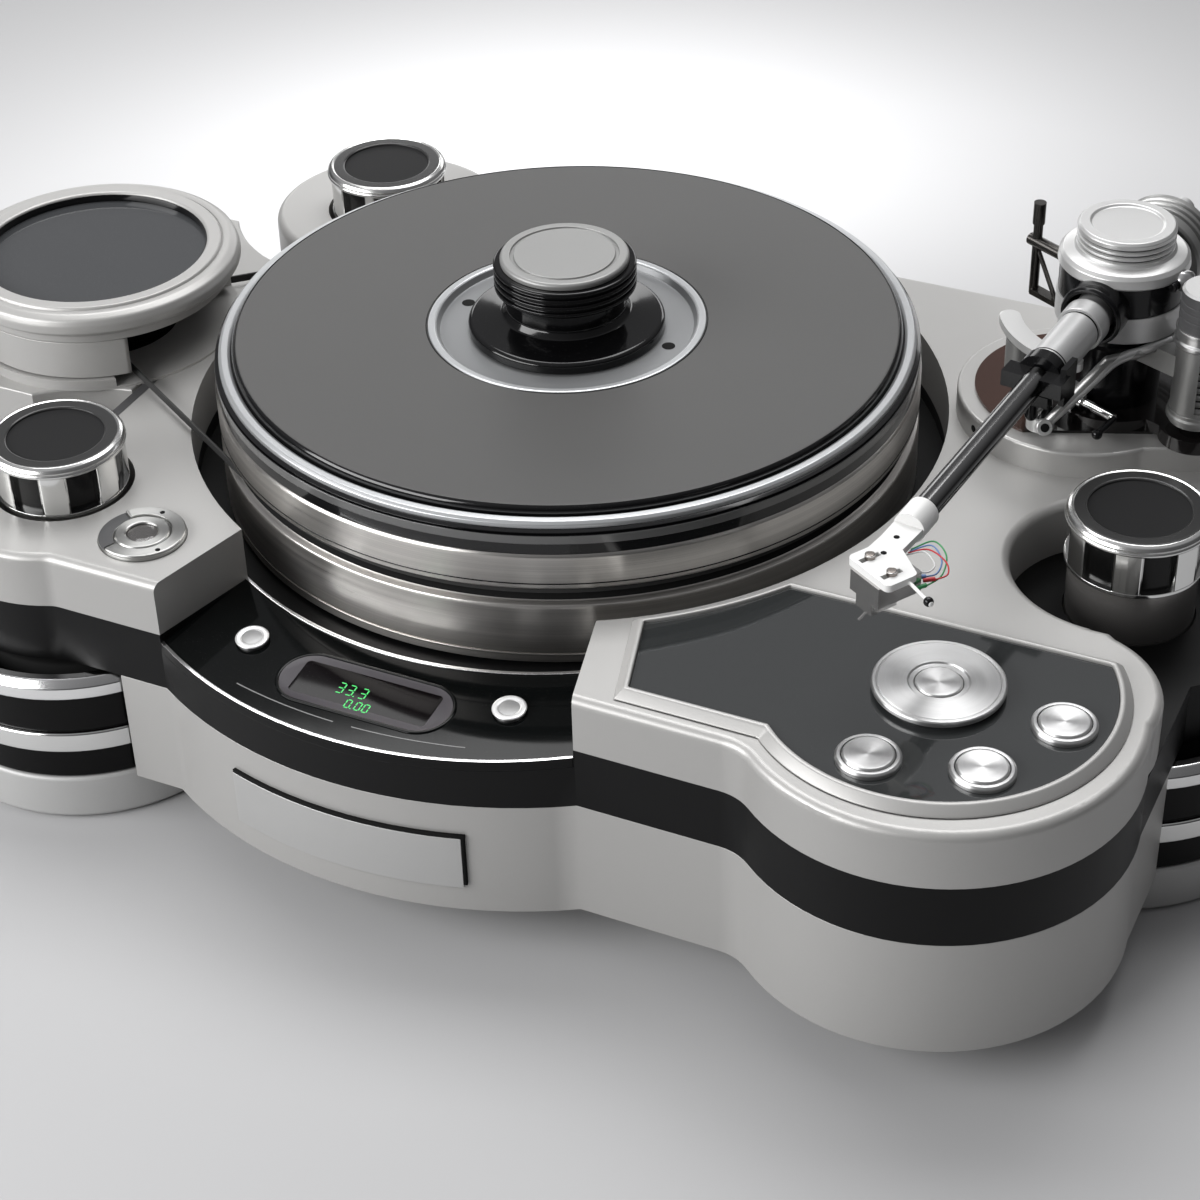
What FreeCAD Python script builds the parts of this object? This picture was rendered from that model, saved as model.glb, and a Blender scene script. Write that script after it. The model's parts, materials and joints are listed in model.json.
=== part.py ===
"""A record player on air suspension: lobed chassis, belt drive, heavy platter, pivoted arm.

Millimetres, +Z up, +X to the right of someone facing the display. Everything is drawn from the
platter's axis and the standing surface, and written out about the middle of the plan.
"""
import FreeCAD
import Part
import Sketcher

import math
import os

os.makedirs("parts", exist_ok=True)
document = FreeCAD.newDocument("turntable")
sheet = document.addObject("Spreadsheet::Sheet", "sizes")

# Driving dimensions, in groups by sub-assembly

HEIGHTS = {
    "underside_height": 22,
    "body_height": 55,
    "band_height": 28,
    "plate_thickness": 25,
    "well_floor_depth": 7,
}
CHASSIS = {
    "front_edge": 196,
    "rear_edge": 160,
    "left_wall": 14,
    "right_edge": 301,
    "bulge_radius": 185,
    "bulge_offset": 37,
    "rear_bulge_radius": 150,
    "rear_bulge_offset": 55,
    "well_radius": 168,
    "deck_inner_half": 81.5,
    "deck_outer_half": 94,
    "deck_inner_y": 146.5,
    "lobe_radius": 56.5,
    "lobe_fillet": 12,
    "pod_x": 221,
    "pod_y": -139,
    "pod_radius": 81,
    "pod_fillet": 22,
    "pod_corner_x": 258,
    "pod_corner_y": -117,
    "pod_corner_radius": 43,
    "bay_x": 262,
    "bay_y": -27,
    "bay_radius": 46.5,
    "bay_rear_y": 12,
    "rear_corner_fillet": 38,
    "bay_fillet": 10,
    "plate_edge_round": 4,
    "small_edge_round": 1,
}
TOWERS = {
    "front_left_inset": 10.5,
    "front_left_y": -145.5,
    "rear_left_inset": 21,
    "rear_left_y": 128,
    "right_x": 264,
    "right_y": -22,
    "foot_radius": 71,
    "foot_bay_gap": 3,
    "foot_base_height": 23,
    "foot_base_chamfer": 3,
    "foot_top_height": 66,
    "ring_seat_depth": 3,
    "ring_low": 38,
    "ring_high": 48,
    "ring_proud": 0.8,
    "collar_width": 7,
    "collar_height": 9,
    "collar_chamfer": 3,
    "spring_recess_depth": 12,
    "spring_recess_radius": 54,
    "spring_inner_radius": 33,
    "spring_outer_radius": 50,
    "spring_waist": 3,
    "column_radius": 26.5,
    "column_gap": 0.6,
    "cap_radius": 29.5,
    "cap_hole_gap": 1.2,
    "cap_base_height": 129,
    "cap_height": 25,
    "cap_rim_height": 5,
    "cap_rim_chamfer": 2.5,
    "cap_windows": 7,
    "window_width": 14,
    "front_left_cap_turn": 16.9,
    "rear_left_cap_turn": 5,
    "right_cap_turn": -4.7,
    "window_height": 16,
    "window_depth": 2.5,
    "window_sill": 2,
    "insert_radius": 25,
    "insert_thickness": 2.2,
    "insert_disc_radius": 20.7,
}
DISPLAY = {
    "panel_rear_height": 103.5,
    "panel_tilt": 5.2,
    "panel_thickness": 4,
    "panel_side_gap": 0.2,
    "trim_width": 1.6,
    "trim_proud": 0.6,
    "window_half_length": 38,
    "window_half_depth": 13,
    "window_centre_y": -191,
    "window_depth_in_panel": 1.5,
    "pitch_button_x": 59,
    "pitch_button_y": -181,
    "pitch_button_radius": 6.4,
    "pitch_button_proud": 1.8,
    "pitch_button_travel": 1.2,
    "name_plate_half_width": 52.5,
    "name_plate_low": 35,
    "name_plate_high": 61,
    "name_plate_thickness": 1.6,
}
CONTROLS = {
    "glass_radius": 68.5,
    "glass_left_x": 113,
    "glass_left_lean": 16,
    "glass_front_y": -184.5,
    "glass_rear_y": -100,
    "glass_well_radius": 176.5,
    "glass_thickness": 3,
    "glass_height": 133,
    "glass_gap": 0.2,
    "bezel_width": 5.5,
    "bezel_lip": 1.2,
    "bezel_chamfer": 3.5,
    "disc_radius": 25.7,
    "disc_hub_radius": 22.5,
    "disc_hub_height": 1.6,
    "disc_thickness": 2.6,
    "disc_well_radius": 12,
    "disc_button_radius": 9.2,
    "disc_button_proud": 0.6,
    "disc_button_travel": 1,
    "button_circle_radius": 50.3,
    "button_first_angle": -101.5,
    "button_pitch_angle": 49,
    "button_ring_radius": 12.5,
    "button_ring_height": 2.6,
    "button_cap_radius": 10,
    "button_cap_proud": 0.6,
    "button_travel": 1.5,
    "button_gap": 0.3,
    "level_x": -117,
    "level_y": -167.5,
    "level_radius": 18.4,
    "level_step_radius": 12,
    "level_bore_radius": 8,
    "level_vial_radius": 7.6,
    "level_height": 2.6,
    "level_depth": 4,
}
PLATTER = {
    "platter_side_gap": 13,
    "platter_gap": 0.4,
    "bearing_plate_radius": 140,
    "bearing_plate_bore": 46,
    "bearing_plate_thickness": 5.3,
    "bearing_radius": 42,
    "bearing_flange_radius": 45.5,
    "bearing_flange_height": 3,
    "bearing_depth": 40,
    "shaft_radius": 9,
    "shaft_clearance": 0.05,
    "shaft_end_gap": 4,
    "lower_platter_height": 27.4,
    "lower_band_height": 20,
    "lower_shoulder_height": 4.5,
    "lower_shoulder_inset": 2,
    "groove_depth": 5,
    "groove_height": 5.2,
    "upper_band_height": 16.5,
    "rim_height": 12.5,
    "rim_step": 0.8,
    "rim_groove_depth": 1.4,
    "rim_groove_height": 1.2,
    "rim_top_inset": 1.8,
    "ring_inner_step": 8,
    "ring_outer_step": 2.7,
    "platter_ring_height": 3.2,
    "mat_step": 9,
    "mat_thickness": 4.6,
    "mat_round": 1.4,
    "centre_radius": 61,
    "centre_lip_radius": 55.5,
    "centre_floor_height": 2,
    "centre_hole_radius": 2.2,
    "centre_hole_circle": 48.5,
    "spindle_radius": 3.55,
    "spindle_height": 16,
}
CLAMP = {
    "clamp_flange_radius": 43,
    "clamp_flange_height": 5,
    "clamp_cone_height": 4,
    "clamp_neck_radius": 26,
    "clamp_neck_height": 10,
    "clamp_grip_radius": 31,
    "clamp_grip_height": 13,
    "clamp_grip_groove": 1.6,
    "clamp_top_radius": 28,
    "clamp_top_height": 3,
    "clamp_top_groove_radius": 22,
    "clamp_top_groove_width": 1.6,
    "clamp_bore_gap": 0.08,
    "clamp_bore_depth": 20,
    "clamp_seat_gap": 0.3,
}
MOTOR = {
    "motor_reach": 48.5,
    "motor_y": -23,
    "motor_base_width": 107,
    "motor_base_front": 92,
    "motor_base_rear": 86,
    "motor_base_round": 26,
    "motor_base_gap": 3,
    "motor_tower_gap": 4.5,
    "motor_foot_radius": 14,
    "motor_foot_height": 8,
    "motor_foot_spread_x": 32,
    "motor_foot_spread_y": 34,
    "pedestal_radius": 63,
    "pedestal_height": 5,
    "pedestal_nose_x": 42,
    "pedestal_nose_half": 40,
    "belt_channel_floor": 1.2,
    "belt_channel_near": 17,
    "belt_channel_reach": 70,
    "belt_channel_spread": 76,
    "cover_gap": 0.6,
    "cover_radius": 61,
    "cover_wall": 4,
    "cover_height": 34.5,
    "cover_rim_radius": 66.5,
    "cover_rim_height": 9,
    "cover_rim_round": 5,
    "cover_step_radius": 58.5,
    "cover_step_depth": 1.2,
    "cover_glass_radius": 51.5,
    "cover_glass_depth": 4.5,
    "cover_glass_thickness": 3,
    "cover_slot_height": 18,
    "cover_slot_half": 43,
    "cover_slot_x": 22,
    "motor_can_radius": 34,
    "motor_can_height": 62,
    "motor_pocket_gap": 0.5,
    "pulley_radius": 10,
    "pulley_height": 9,
    "pulley_crown": 0.4,
    "motor_shaft_radius": 3,
    "motor_shaft_length": 30,
    "belt_thickness": 1,
    "belt_width": 3.4,
    "belt_rise": 0.9,
}
TONEARM = {
    "board_x": 211,
    "board_y": 75,
    "board_radius": 53,
    "board_height": 12,
    "board_corner_x": 271,
    "board_corner_y": 48,
    "board_front_rise": 11,
    "board_front_turn": 21.3,
    "board_right": 299,
    "board_rear": 126,
    "board_round": 12,
    "board_edge_round": 1.5,
    "inlay_margin": 7.5,
    "inlay_front_margin": 13,
    "inlay_height": 1.2,
    "arm_x": 225,
    "arm_y": 73,
    "pillar_x": 266,
    "pillar_y": 56,
    "arm_base_radius": 30,
    "arm_base_height": 5,
    "arm_post_radius": 20,
    "post_shoulder_drop": 24,
    "post_top_drop": 16,
    "arm_bridge_height": 10,
    "arm_bridge_width": 18,
    "pillar_radius": 11.5,
    "pillar_bore_radius": 6,
    "pillar_foot_radius": 15,
    "pillar_rise": 14,
    "pillar_knob_height": 18,
    "pillar_groove": 0.8,
    "pillar_slot_width": 3,
    "pillar_slot_rise": 8,
    "arm_running_gap": 0.05,
    "arm_face_gap": 0.4,
    "arm_height_travel": 3,
    "hub_radius": 27,
    "hub_inner_radius": 21,
    "hub_floor": 5,
    "hub_ring_drop": 4,
    "hub_drum_rise": 9.5,
    "hub_boss_radius": 13.4,
    "hub_boss_bore": 11,
    "hub_boss_reach": 34,
    "hub_collar_height": 7,
    "hub_grip_radius": 20.5,
    "hub_grip_height": 11,
    "hub_grip_groove": 1,
    "hub_top_radius": 14.5,
    "pivot_pin_radius": 8,
    "tilt_pin_radius": 3,
    "hub_rear_half": 7,
    "arm_angle": 263,
    "arm_line_height": 200,
    "arm_slope": 2.4,
    "sleeve_radius": 8.7,
    "sleeve_end": 77,
    "sleeve_ring_radius": 10,
    "sleeve_ring_start": 35.5,
    "sleeve_ring_length": 9,
    "arm_collar_radius": 9.4,
    "arm_collar_length": 6,
    "arm_tab_width": 26,
    "arm_tab_length": 9,
    "arm_tab_height": 7,
    "arm_fin_width": 2.4,
    "arm_fin_length": 11,
    "arm_fin_height": 17,
    "tube_radius": 5,
    "tube_end": 190,
    "shell_start": 186,
    "shell_root_radius": 6.4,
    "shell_root_length": 12,
    "shell_neck_half": 6,
    "shell_thickness": 3,
    "shell_drop": 10,
    "shell_turn": -24.5,
    "shell_front": 211,
    "shell_rear": 197,
    "shell_side": 84.2,
    "shell_width": 24,
    "shell_round": 2.5,
    "slot_middle": 204.6,
    "slot_spacing": 12.7,
    "slot_length": 9,
    "slot_width": 2.4,
    "finger_lift_radius": 0.7,
    "finger_lift_length": 15,
    "cartridge_width": 16.5,
    "cartridge_length": 20,
    "cartridge_height": 9,
    "cartridge_nose_width": 9,
    "cartridge_nose_height": 5,
    "stylus_drop": 27.5,
    "stylus_radius": 0.5,
    "stylus_forward": 9.5,
    "stub_radius": 5,
    "stub_end": 68,
    "weight_radius": 22,
    "weight_length": 20,
    "weight_position": 32.5,
    "weight_drop": 8,
    "weight_groove": 1.2,
    "lift_reach": 46,
    "lift_half_width": 4.5,
    "lift_start": 206,
    "lift_end": 262,
    "lift_angle": 222,
    "lift_drop": 15.5,
    "lift_thickness": 3.6,
    "lift_rod_radius": 2.5,
    "lift_housing_radius": 5,
    "lift_housing_height": 18,
    "lever_x": 217,
    "lever_y": 50,
    "lever_height": 152,
    "lever_angle": 335,
    "lever_block": 9,
    "lever_bar_radius": 2,
    "lever_bar_length": 20,
    "lever_handle_radius": 1.5,
    "lever_handle_length": 11,
    "lever_knob_radius": 2.3,
    "rest_distance": 88,
    "rest_x": 206,
    "rest_y": 32,
    "rest_post_radius": 4.5,
    "rest_nut_radius": 6,
    "rest_nut_height": 6,
    "rest_gap": 0.6,
    "rest_elbow_share": 0.3,
    "rest_lean_gap": 5.5,
    "rest_cradle_width": 15,
    "rest_cradle_length": 5,
    "rest_cradle_height": 5,
    "rod_radius": 2.2,
    "rod_reach": 27,
    "rod_drop": 4,
    "rod_end_rise": 8,
    "skate_distance": 50,
    "skate_angle": 152,
    "skate_bar": 2.6,
    "skate_low_drop": 28,
    "skate_rise": 6,
    "skate_screw_radius": 2.7,
    "skate_screw_length": 10,
    "skate_side_length": 19,
    "skate_side_drop": 9,
    "skate_side_start": 4,
    "skate_brace_drop": 11,
}


class Size:
    """A length that knows its number now and the formula that the sheet keeps for it."""

    def __init__(self, number, formula):
        self.number = float(number)
        self.formula = formula

    @staticmethod
    def of(value):
        return value if isinstance(value, Size) else Size(value, repr(float(value)))

    def _with(self, other, sign, number):
        return Size(number, f"({self.formula} {sign} {Size.of(other).formula})")

    def __add__(self, other):
        return self._with(other, "+", self.number + Size.of(other).number)

    def __sub__(self, other):
        return self._with(other, "-", self.number - Size.of(other).number)

    def __mul__(self, other):
        return self._with(other, "*", self.number * Size.of(other).number)

    def __truediv__(self, other):
        return self._with(other, "/", self.number / Size.of(other).number)

    def __radd__(self, other):
        return Size.of(other) + self

    def __rsub__(self, other):
        return Size.of(other) - self

    def __rmul__(self, other):
        return Size.of(other) * self

    def __rtruediv__(self, other):
        return Size.of(other) / self

    def __neg__(self):
        return Size(-self.number, f"(0 - {self.formula})")


def cosine(angle):
    """The cosine of an angle in degrees, kept as a formula."""
    angle = Size.of(angle)
    return Size(math.cos(math.radians(angle.number)), f"cos({angle.formula} * 1deg)")


def sine(angle):
    """The sine of an angle in degrees, kept as a formula."""
    angle = Size.of(angle)
    return Size(math.sin(math.radians(angle.number)), f"sin({angle.formula} * 1deg)")


def root(value):
    """A square root, kept as a formula."""
    value = Size.of(value)
    return Size(math.sqrt(value.number), f"sqrt({value.formula})")


class Sheet:
    """Gives each cell of the spreadsheet as a Size, by its alias."""

    def __getattr__(self, alias):
        return Size(sheet.get(alias), f"sizes.{alias}")


def fill_sheet(groups):
    """Write one row for each driving dimension: its alias beside its plain number."""
    row = 1
    for group in groups:
        for alias, value in group.items():
            sheet.set(f"A{row}", alias)
            sheet.set(f"B{row}", str(value))
            sheet.setAlias(f"B{row}", alias)
            row += 1
    document.recompute()


fill_sheet([HEIGHTS, CHASSIS, TOWERS, DISPLAY, CONTROLS, PLATTER, CLAMP, MOTOR, TONEARM])
d = Sheet()
NODES = {}

# Levels and places that more than one sub-assembly uses

body_low = d.underside_height
band_low = body_low + d.body_height
plate_low = band_low + d.band_height
plate_top = plate_low + d.plate_thickness
well_floor = plate_low - d.well_floor_depth
platter_low = well_floor + d.bearing_plate_thickness + d.platter_gap
groove_low = platter_low + d.lower_platter_height
band_two_low = groove_low + d.groove_height
rim_low = band_two_low + d.upper_band_height
rim_top = rim_low + d.rim_height
centre_floor = rim_top + d.centre_floor_height
board_top = plate_top + d.board_height
left_edge = d.well_radius + d.left_wall
front_left_x = d.front_left_inset - left_edge
rear_left_x = d.rear_left_inset - left_edge
motor_x = Size.of(0) - left_edge - d.motor_reach
motor_base_left = left_edge + d.motor_base_width
platter_radius = d.well_radius - d.platter_side_gap
groove_radius = platter_radius - d.groove_depth
rim_radius = platter_radius - d.rim_step
ring_inner_radius = platter_radius - d.ring_inner_step
ring_outer_radius = platter_radius - d.ring_outer_step
mat_radius = platter_radius - d.mat_step
arm_post_shoulder = d.arm_line_height - d.post_shoulder_drop
arm_post_top = d.arm_line_height - d.post_top_drop
pillar_top = d.arm_line_height + d.pillar_rise
hub_ring_top = d.arm_line_height - d.hub_ring_drop
hub_drum_top = d.arm_line_height + d.hub_drum_rise
shell_height = d.arm_line_height - d.shell_drop
stylus_height = d.arm_line_height - d.stylus_drop
lift_rest = d.arm_line_height - d.lift_drop
skate_low = d.arm_line_height - d.skate_low_drop
skate_high = d.arm_line_height + d.skate_rise
pedestal_top = plate_top + d.pedestal_height
bezel_top = d.glass_height + d.bezel_lip
glass_low = d.glass_height - d.glass_thickness
TOWER_PLACES = {
    "front_left": (front_left_x, d.front_left_y),
    "rear_left": (rear_left_x, d.rear_left_y),
    "right": (d.right_x, d.right_y),
}
CAP_TURNS = {
    "front_left": d.front_left_cap_turn, "rear_left": d.rear_left_cap_turn, "right": d.right_cap_turn,
}
FAR = 400
TALL = 60


def bind(item, property_name, value):
    """Tie one property to a formula, or set it when it is a plain number."""
    if isinstance(value, Size):
        item.setExpression(property_name, value.formula)
    else:
        setattr(item, property_name, value)


def place(item, x=0, y=0, z=0, axis=None, angle=None):
    """Put an object at x, y, z, turned by an angle in degrees about an axis."""
    if axis is not None:
        item.Placement = FreeCAD.Placement(FreeCAD.Vector(), FreeCAD.Rotation(axis, Size.of(angle).number))
        if isinstance(angle, Size):
            item.setExpression("Placement.Rotation.Angle", angle.formula)
    for letter, value in zip("xyz", (x, y, z)):
        item.setExpression(f"Placement.Base.{letter}", Size.of(value).formula)
    return item


def cylinder(name, radius, height, x=0, y=0, z=0, axis=None, angle=None):
    item = document.addObject("Part::Cylinder", name)
    bind(item, "Radius", Size.of(radius))
    bind(item, "Height", Size.of(height))
    return place(item, x, y, z, axis, angle)


def cone(name, low_radius, high_radius, height, x=0, y=0, z=0):
    item = document.addObject("Part::Cone", name)
    bind(item, "Radius1", Size.of(low_radius))
    bind(item, "Radius2", Size.of(high_radius))
    bind(item, "Height", Size.of(height))
    return place(item, x, y, z)


def box(name, x_low, x_high, y_low, y_high, z_low, z_high):
    item = document.addObject("Part::Box", name)
    x_low, y_low, z_low = Size.of(x_low), Size.of(y_low), Size.of(z_low)
    bind(item, "Length", Size.of(x_high) - x_low)
    bind(item, "Width", Size.of(y_high) - y_low)
    bind(item, "Height", Size.of(z_high) - z_low)
    return place(item, x_low, y_low, z_low)


def turned_box(name, length, width, height, x, y, z, angle):
    """A bar that starts at x, y, z and runs along its own X, turned about +Z and centred across."""
    item = document.addObject("Part::Box", name)
    length, width, height, angle = map(Size.of, (length, width, height, angle))
    bind(item, "Length", length)
    bind(item, "Width", width)
    bind(item, "Height", height)
    half = width / 2
    x = Size.of(x) + half * sine(angle)
    y = Size.of(y) - half * cosine(angle)
    return place(item, x, y, z, FreeCAD.Vector(0, 0, 1), angle)


def fuse(name, *items):
    joined = document.addObject("Part::MultiFuse", name)
    joined.Shapes = list(items)
    joined.Refine = True
    return joined


def meet(name, *items):
    common = document.addObject("Part::MultiCommon", name)
    common.Shapes = list(items)
    common.Refine = True
    return common


def cut(name, base, *tools):
    tool = tools[0] if len(tools) == 1 else fuse(f"{name}_tool", *tools)
    result = document.addObject("Part::Cut", name)
    result.Base = base
    result.Tool = tool
    result.Refine = True
    return result


def edges_where(item, wanted):
    """The numbers of the edges whose middle point and ends satisfy a test."""
    document.recompute()
    found = []
    for number, edge in enumerate(item.Shape.Edges, start=1):
        if edge.Length < 1e-3:
            continue
        middle = edge.valueAt((edge.FirstParameter + edge.LastParameter) / 2)
        ends = [vertex.Point for vertex in edge.Vertexes]
        if wanted(middle, ends):
            found.append(number)
    return found


def soften(kind, name, base, radius, wanted):
    """Round or chamfer the edges that a test picks."""
    item = document.addObject(f"Part::{kind}", name)
    item.Base = base
    amount = Size.of(radius).number
    item.Edges = [(number, amount, amount) for number in edges_where(base, wanted)]
    return item


def fillet(name, base, radius, wanted):
    return soften("Fillet", name, base, radius, wanted)


def chamfer(name, base, radius, wanted):
    return soften("Chamfer", name, base, radius, wanted)


def upright(place_x, place_y, tolerance=0.6):
    """A test for upright edges near a point in plan."""
    spot_x, spot_y = Size.of(place_x).number, Size.of(place_y).number

    def test(middle, ends):
        if len(ends) != 2 or abs(ends[0].z - ends[1].z) < 1:
            return False
        return math.hypot(middle.x - spot_x, middle.y - spot_y) < tolerance
    return test


def plane_of(body, role):
    return next(item for item in body.Origin.OriginFeatures if item.Role == role)


def closed_sketch(body, role, points):
    """A closed outline of straight lines on one of the body's own planes, every corner bound."""
    sketch = body.newObject("Sketcher::SketchObject", f"{body.Name}_outline")
    sketch.AttachmentSupport = [(plane_of(body, role), "")]
    sketch.MapMode = "FlatFace"
    corners = [(Size.of(u), Size.of(v)) for u, v in points]
    count = len(corners)
    for index in range(count):
        start, end = corners[index], corners[(index + 1) % count]
        sketch.addGeometry(Part.LineSegment(
            FreeCAD.Vector(start[0].number, start[1].number, 0),
            FreeCAD.Vector(end[0].number, end[1].number, 0)), False)
    for index in range(count):
        sketch.addConstraint(Sketcher.Constraint("Coincident", index, 2, (index + 1) % count, 1))
    for index, corner in enumerate(corners):
        for kind, value, axis in (("DistanceX", corner[0], -2), ("DistanceY", corner[1], -1)):
            if abs(value.number) < 1e-9:
                sketch.addConstraint(Sketcher.Constraint("PointOnObject", index, 1, axis))
                continue
            number = sketch.addConstraint(Sketcher.Constraint(kind, -1, 1, index, 1, value.number))
            sketch.setExpression(f"Constraints[{number}]", value.formula)
    return sketch


def turned(name, profile, x=0, y=0, z=0):
    """A turned piece: a profile of (radius, height) corners spun about the upright axis."""
    body = document.addObject("PartDesign::Body", name)
    sketch = closed_sketch(body, "XZ_Plane", profile)
    spin = body.newObject("PartDesign::Revolution", f"{name}_spin")
    spin.Profile = sketch
    spin.ReferenceAxis = (sketch, ["V_Axis"])
    spin.Angle = 360
    return place(body, x, y, z)


def padded(name, points, height, z=0):
    """A flat piece: an outline in plan, given a thickness."""
    body = document.addObject("PartDesign::Body", name)
    sketch = closed_sketch(body, "XY_Plane", points)
    pad = body.newObject("PartDesign::Pad", f"{name}_pad")
    pad.Profile = sketch
    bind(pad, "Length", Size.of(height))
    return place(body, 0, 0, z)


def group(name, items):
    """Several like pieces that are listed as one node."""
    joined = document.addObject("Part::Compound", name)
    joined.Links = items
    return joined


def node(label, item):
    """Keep an object as a finished sub-part under its own label."""
    item.Label = label
    NODES[label] = item
    return item


# Chassis layers


def deck_outline(name, side, z, height, gap=0):
    """The opening between the two top plates: it widens outwards, side is -1 at the front."""
    lean = (d.deck_outer_half - d.deck_inner_half) / (d.front_edge - d.deck_inner_y)
    inner = d.deck_inner_half - lean * 30 - gap
    outer = d.deck_outer_half - gap
    y_inner = side * (d.deck_inner_y - 30)
    y_outer = side * d.front_edge
    return padded(name, [(-inner, y_inner), (inner, y_inner), (outer, y_outer), (outer, side * FAR),
                         (-outer, side * FAR), (-outer, y_outer)], height, z)


def chassis_outline(name, z, height):
    """The lobed outline that the lower body and the black band share."""
    front = meet(f"{name}_front", cylinder(f"{name}_front_disc", d.bulge_radius, height, 0, -d.bulge_offset, z),
                 box(f"{name}_front_box", -d.deck_outer_half * 1.2, d.deck_outer_half * 1.2, -FAR, 0, z,
                     z + height))
    rear = meet(f"{name}_rear", cylinder(f"{name}_rear_disc", d.rear_bulge_radius, height, 0,
                                         d.rear_bulge_offset, z),
                box(f"{name}_rear_box", -left_edge, left_edge, 0, FAR, z, z + height))
    core = box(f"{name}_core", -left_edge, d.pod_x, -d.front_edge, d.rear_edge, z, z + height)
    side = box(f"{name}_side", d.pod_x - d.pod_corner_radius, d.right_edge, d.pod_y, d.rear_edge, z,
               z + height)
    lobes = [cylinder(f"{name}_{tower}", d.lobe_radius, height, x, y, z)
             for tower, (x, y) in TOWER_PLACES.items()]
    pod = cylinder(f"{name}_pod", d.pod_radius, height, d.pod_x, d.pod_y, z)
    outline = fuse(f"{name}_outline", front, rear, core, side, pod, *lobes)
    return round_outline(f"{name}_round", outline, d.right_edge, d.rear_edge)


def pod_front_corner():
    """Where the pod's round side leaves the straight front edge."""
    reach = d.front_edge + d.pod_y
    return d.pod_x - root(d.pod_radius * d.pod_radius - reach * reach), -d.front_edge


def lobe_front_corner():
    """Where the front-left lobe meets the straight front edge."""
    reach = d.front_edge + d.front_left_y
    return front_left_x + root(d.lobe_radius * d.lobe_radius - reach * reach), -d.front_edge


def round_outline(name, outline, corner_x, corner_y):
    """Round the rear right corner and the hollow where the pod meets the front edge."""
    rounded = fillet(f"{name}_rear", outline, d.rear_corner_fillet, upright(corner_x, corner_y))
    return fillet(name, rounded, d.pod_fillet, upright(*pod_front_corner()))


def make_lower_body():
    shape = chassis_outline("lower", body_low, d.body_height)
    bays = [cylinder(f"foot_bay_{tower}", d.foot_radius + d.foot_bay_gap, d.body_height, x, y, body_low)
            for tower, (x, y) in TOWER_PLACES.items()]
    bore = cylinder("lower_bearing_bore", d.bearing_radius, d.bearing_depth, 0, 0, well_floor - d.bearing_depth)
    return node("lower_body", cut("lower_body", shape, bore, *bays))


def sloping_block(name, below, above):
    """A block whose faces lie parallel to the sloping display panel, below and above its top."""
    item = document.addObject("Part::Box", name)
    below, above = Size.of(below), Size.of(above)
    item.Length = 2 * FAR
    item.Width = FAR / 2
    bind(item, "Height", below + above)
    rear_y = -d.well_radius + 60
    reach = Size.of(FAR / 2)
    run, rise = cosine(d.panel_tilt), sine(d.panel_tilt)
    top_z = d.panel_rear_height + 60 * rise / run - reach * rise
    top_y = rear_y - reach * run
    return place(item, -FAR, top_y + below * rise, top_z - below * run,
                 FreeCAD.Vector(1, 0, 0), d.panel_tilt)


def make_middle_band():
    shape = chassis_outline("band", band_low, d.band_height)
    well = cylinder("band_well", d.well_radius, TALL, 0, 0, well_floor)
    bore = cylinder("band_bearing_bore", d.bearing_radius, TALL, 0, 0, band_low)
    display_bed = meet("display_bed", deck_outline("display_bed_plan", -1, band_low, TALL),
                       sloping_block("display_bed_slope", d.panel_thickness, TALL))
    rear_bed = deck_outline("rear_bed", 1, plate_low - d.panel_thickness, TALL)
    holes = [cylinder(f"column_hole_{tower}", d.column_radius + d.column_gap, d.band_height, x, y, band_low)
             for tower, (x, y) in TOWER_PLACES.items()]
    return node("middle_band", cut("middle_band", shape, well, bore, display_bed, rear_bed, *holes))


def cap_hole(tower, x, y):
    return cylinder(f"cap_hole_{tower}", d.cap_radius + d.cap_hole_gap, d.plate_thickness, x, y, plate_low)


def outer_top_edge(inner_radius, deck_half):
    """A test for a plate's outer top edges: not the well, nor the walls beside the displays."""
    top = plate_top.number

    def test(middle, ends):
        if abs(middle.z - top) > 1e-3 or math.hypot(middle.x, middle.y) < inner_radius.number + 1:
            return False
        if len(ends) < 2 or any(abs(end.z - top) > 1e-3 for end in ends):
            return False
        near_hole = any(math.hypot(middle.x - x.number, middle.y - y.number) < d.cap_radius.number + 4
                        for x, y in TOWER_PLACES.values())
        return not near_hole and abs(middle.x) > deck_half.number + 1
    return test


def make_left_plate():
    z, height = plate_low, d.plate_thickness
    core = box("left_core", -left_edge, -60, -d.front_edge, d.rear_edge, z, z + height)
    lobes = [cylinder(f"left_{tower}", d.lobe_radius, height, *TOWER_PLACES[tower], z)
             for tower in ("front_left", "rear_left")]
    outline = fuse("left_outline", core, *lobes)
    outline = fillet("left_round", outline, d.lobe_fillet, upright(*lobe_front_corner()))
    well = cylinder("left_well", d.well_radius, height, 0, 0, z)
    holes = [cap_hole(f"left_{tower}", *TOWER_PLACES[tower]) for tower in ("front_left", "rear_left")]
    level = cylinder("level_recess", d.level_radius + d.button_gap, TALL, d.level_x, d.level_y,
                     plate_top - d.level_depth + d.level_height)
    plate = cut("left_cut", outline, well, deck_outline("left_front_deck", -1, z, height),
                deck_outline("left_rear_deck", 1, z, height), level, *holes)
    return node("top_plate_left", fillet("top_plate_left", plate, d.plate_edge_round,
                                         outer_top_edge(d.well_radius, d.deck_outer_half)))


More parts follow.
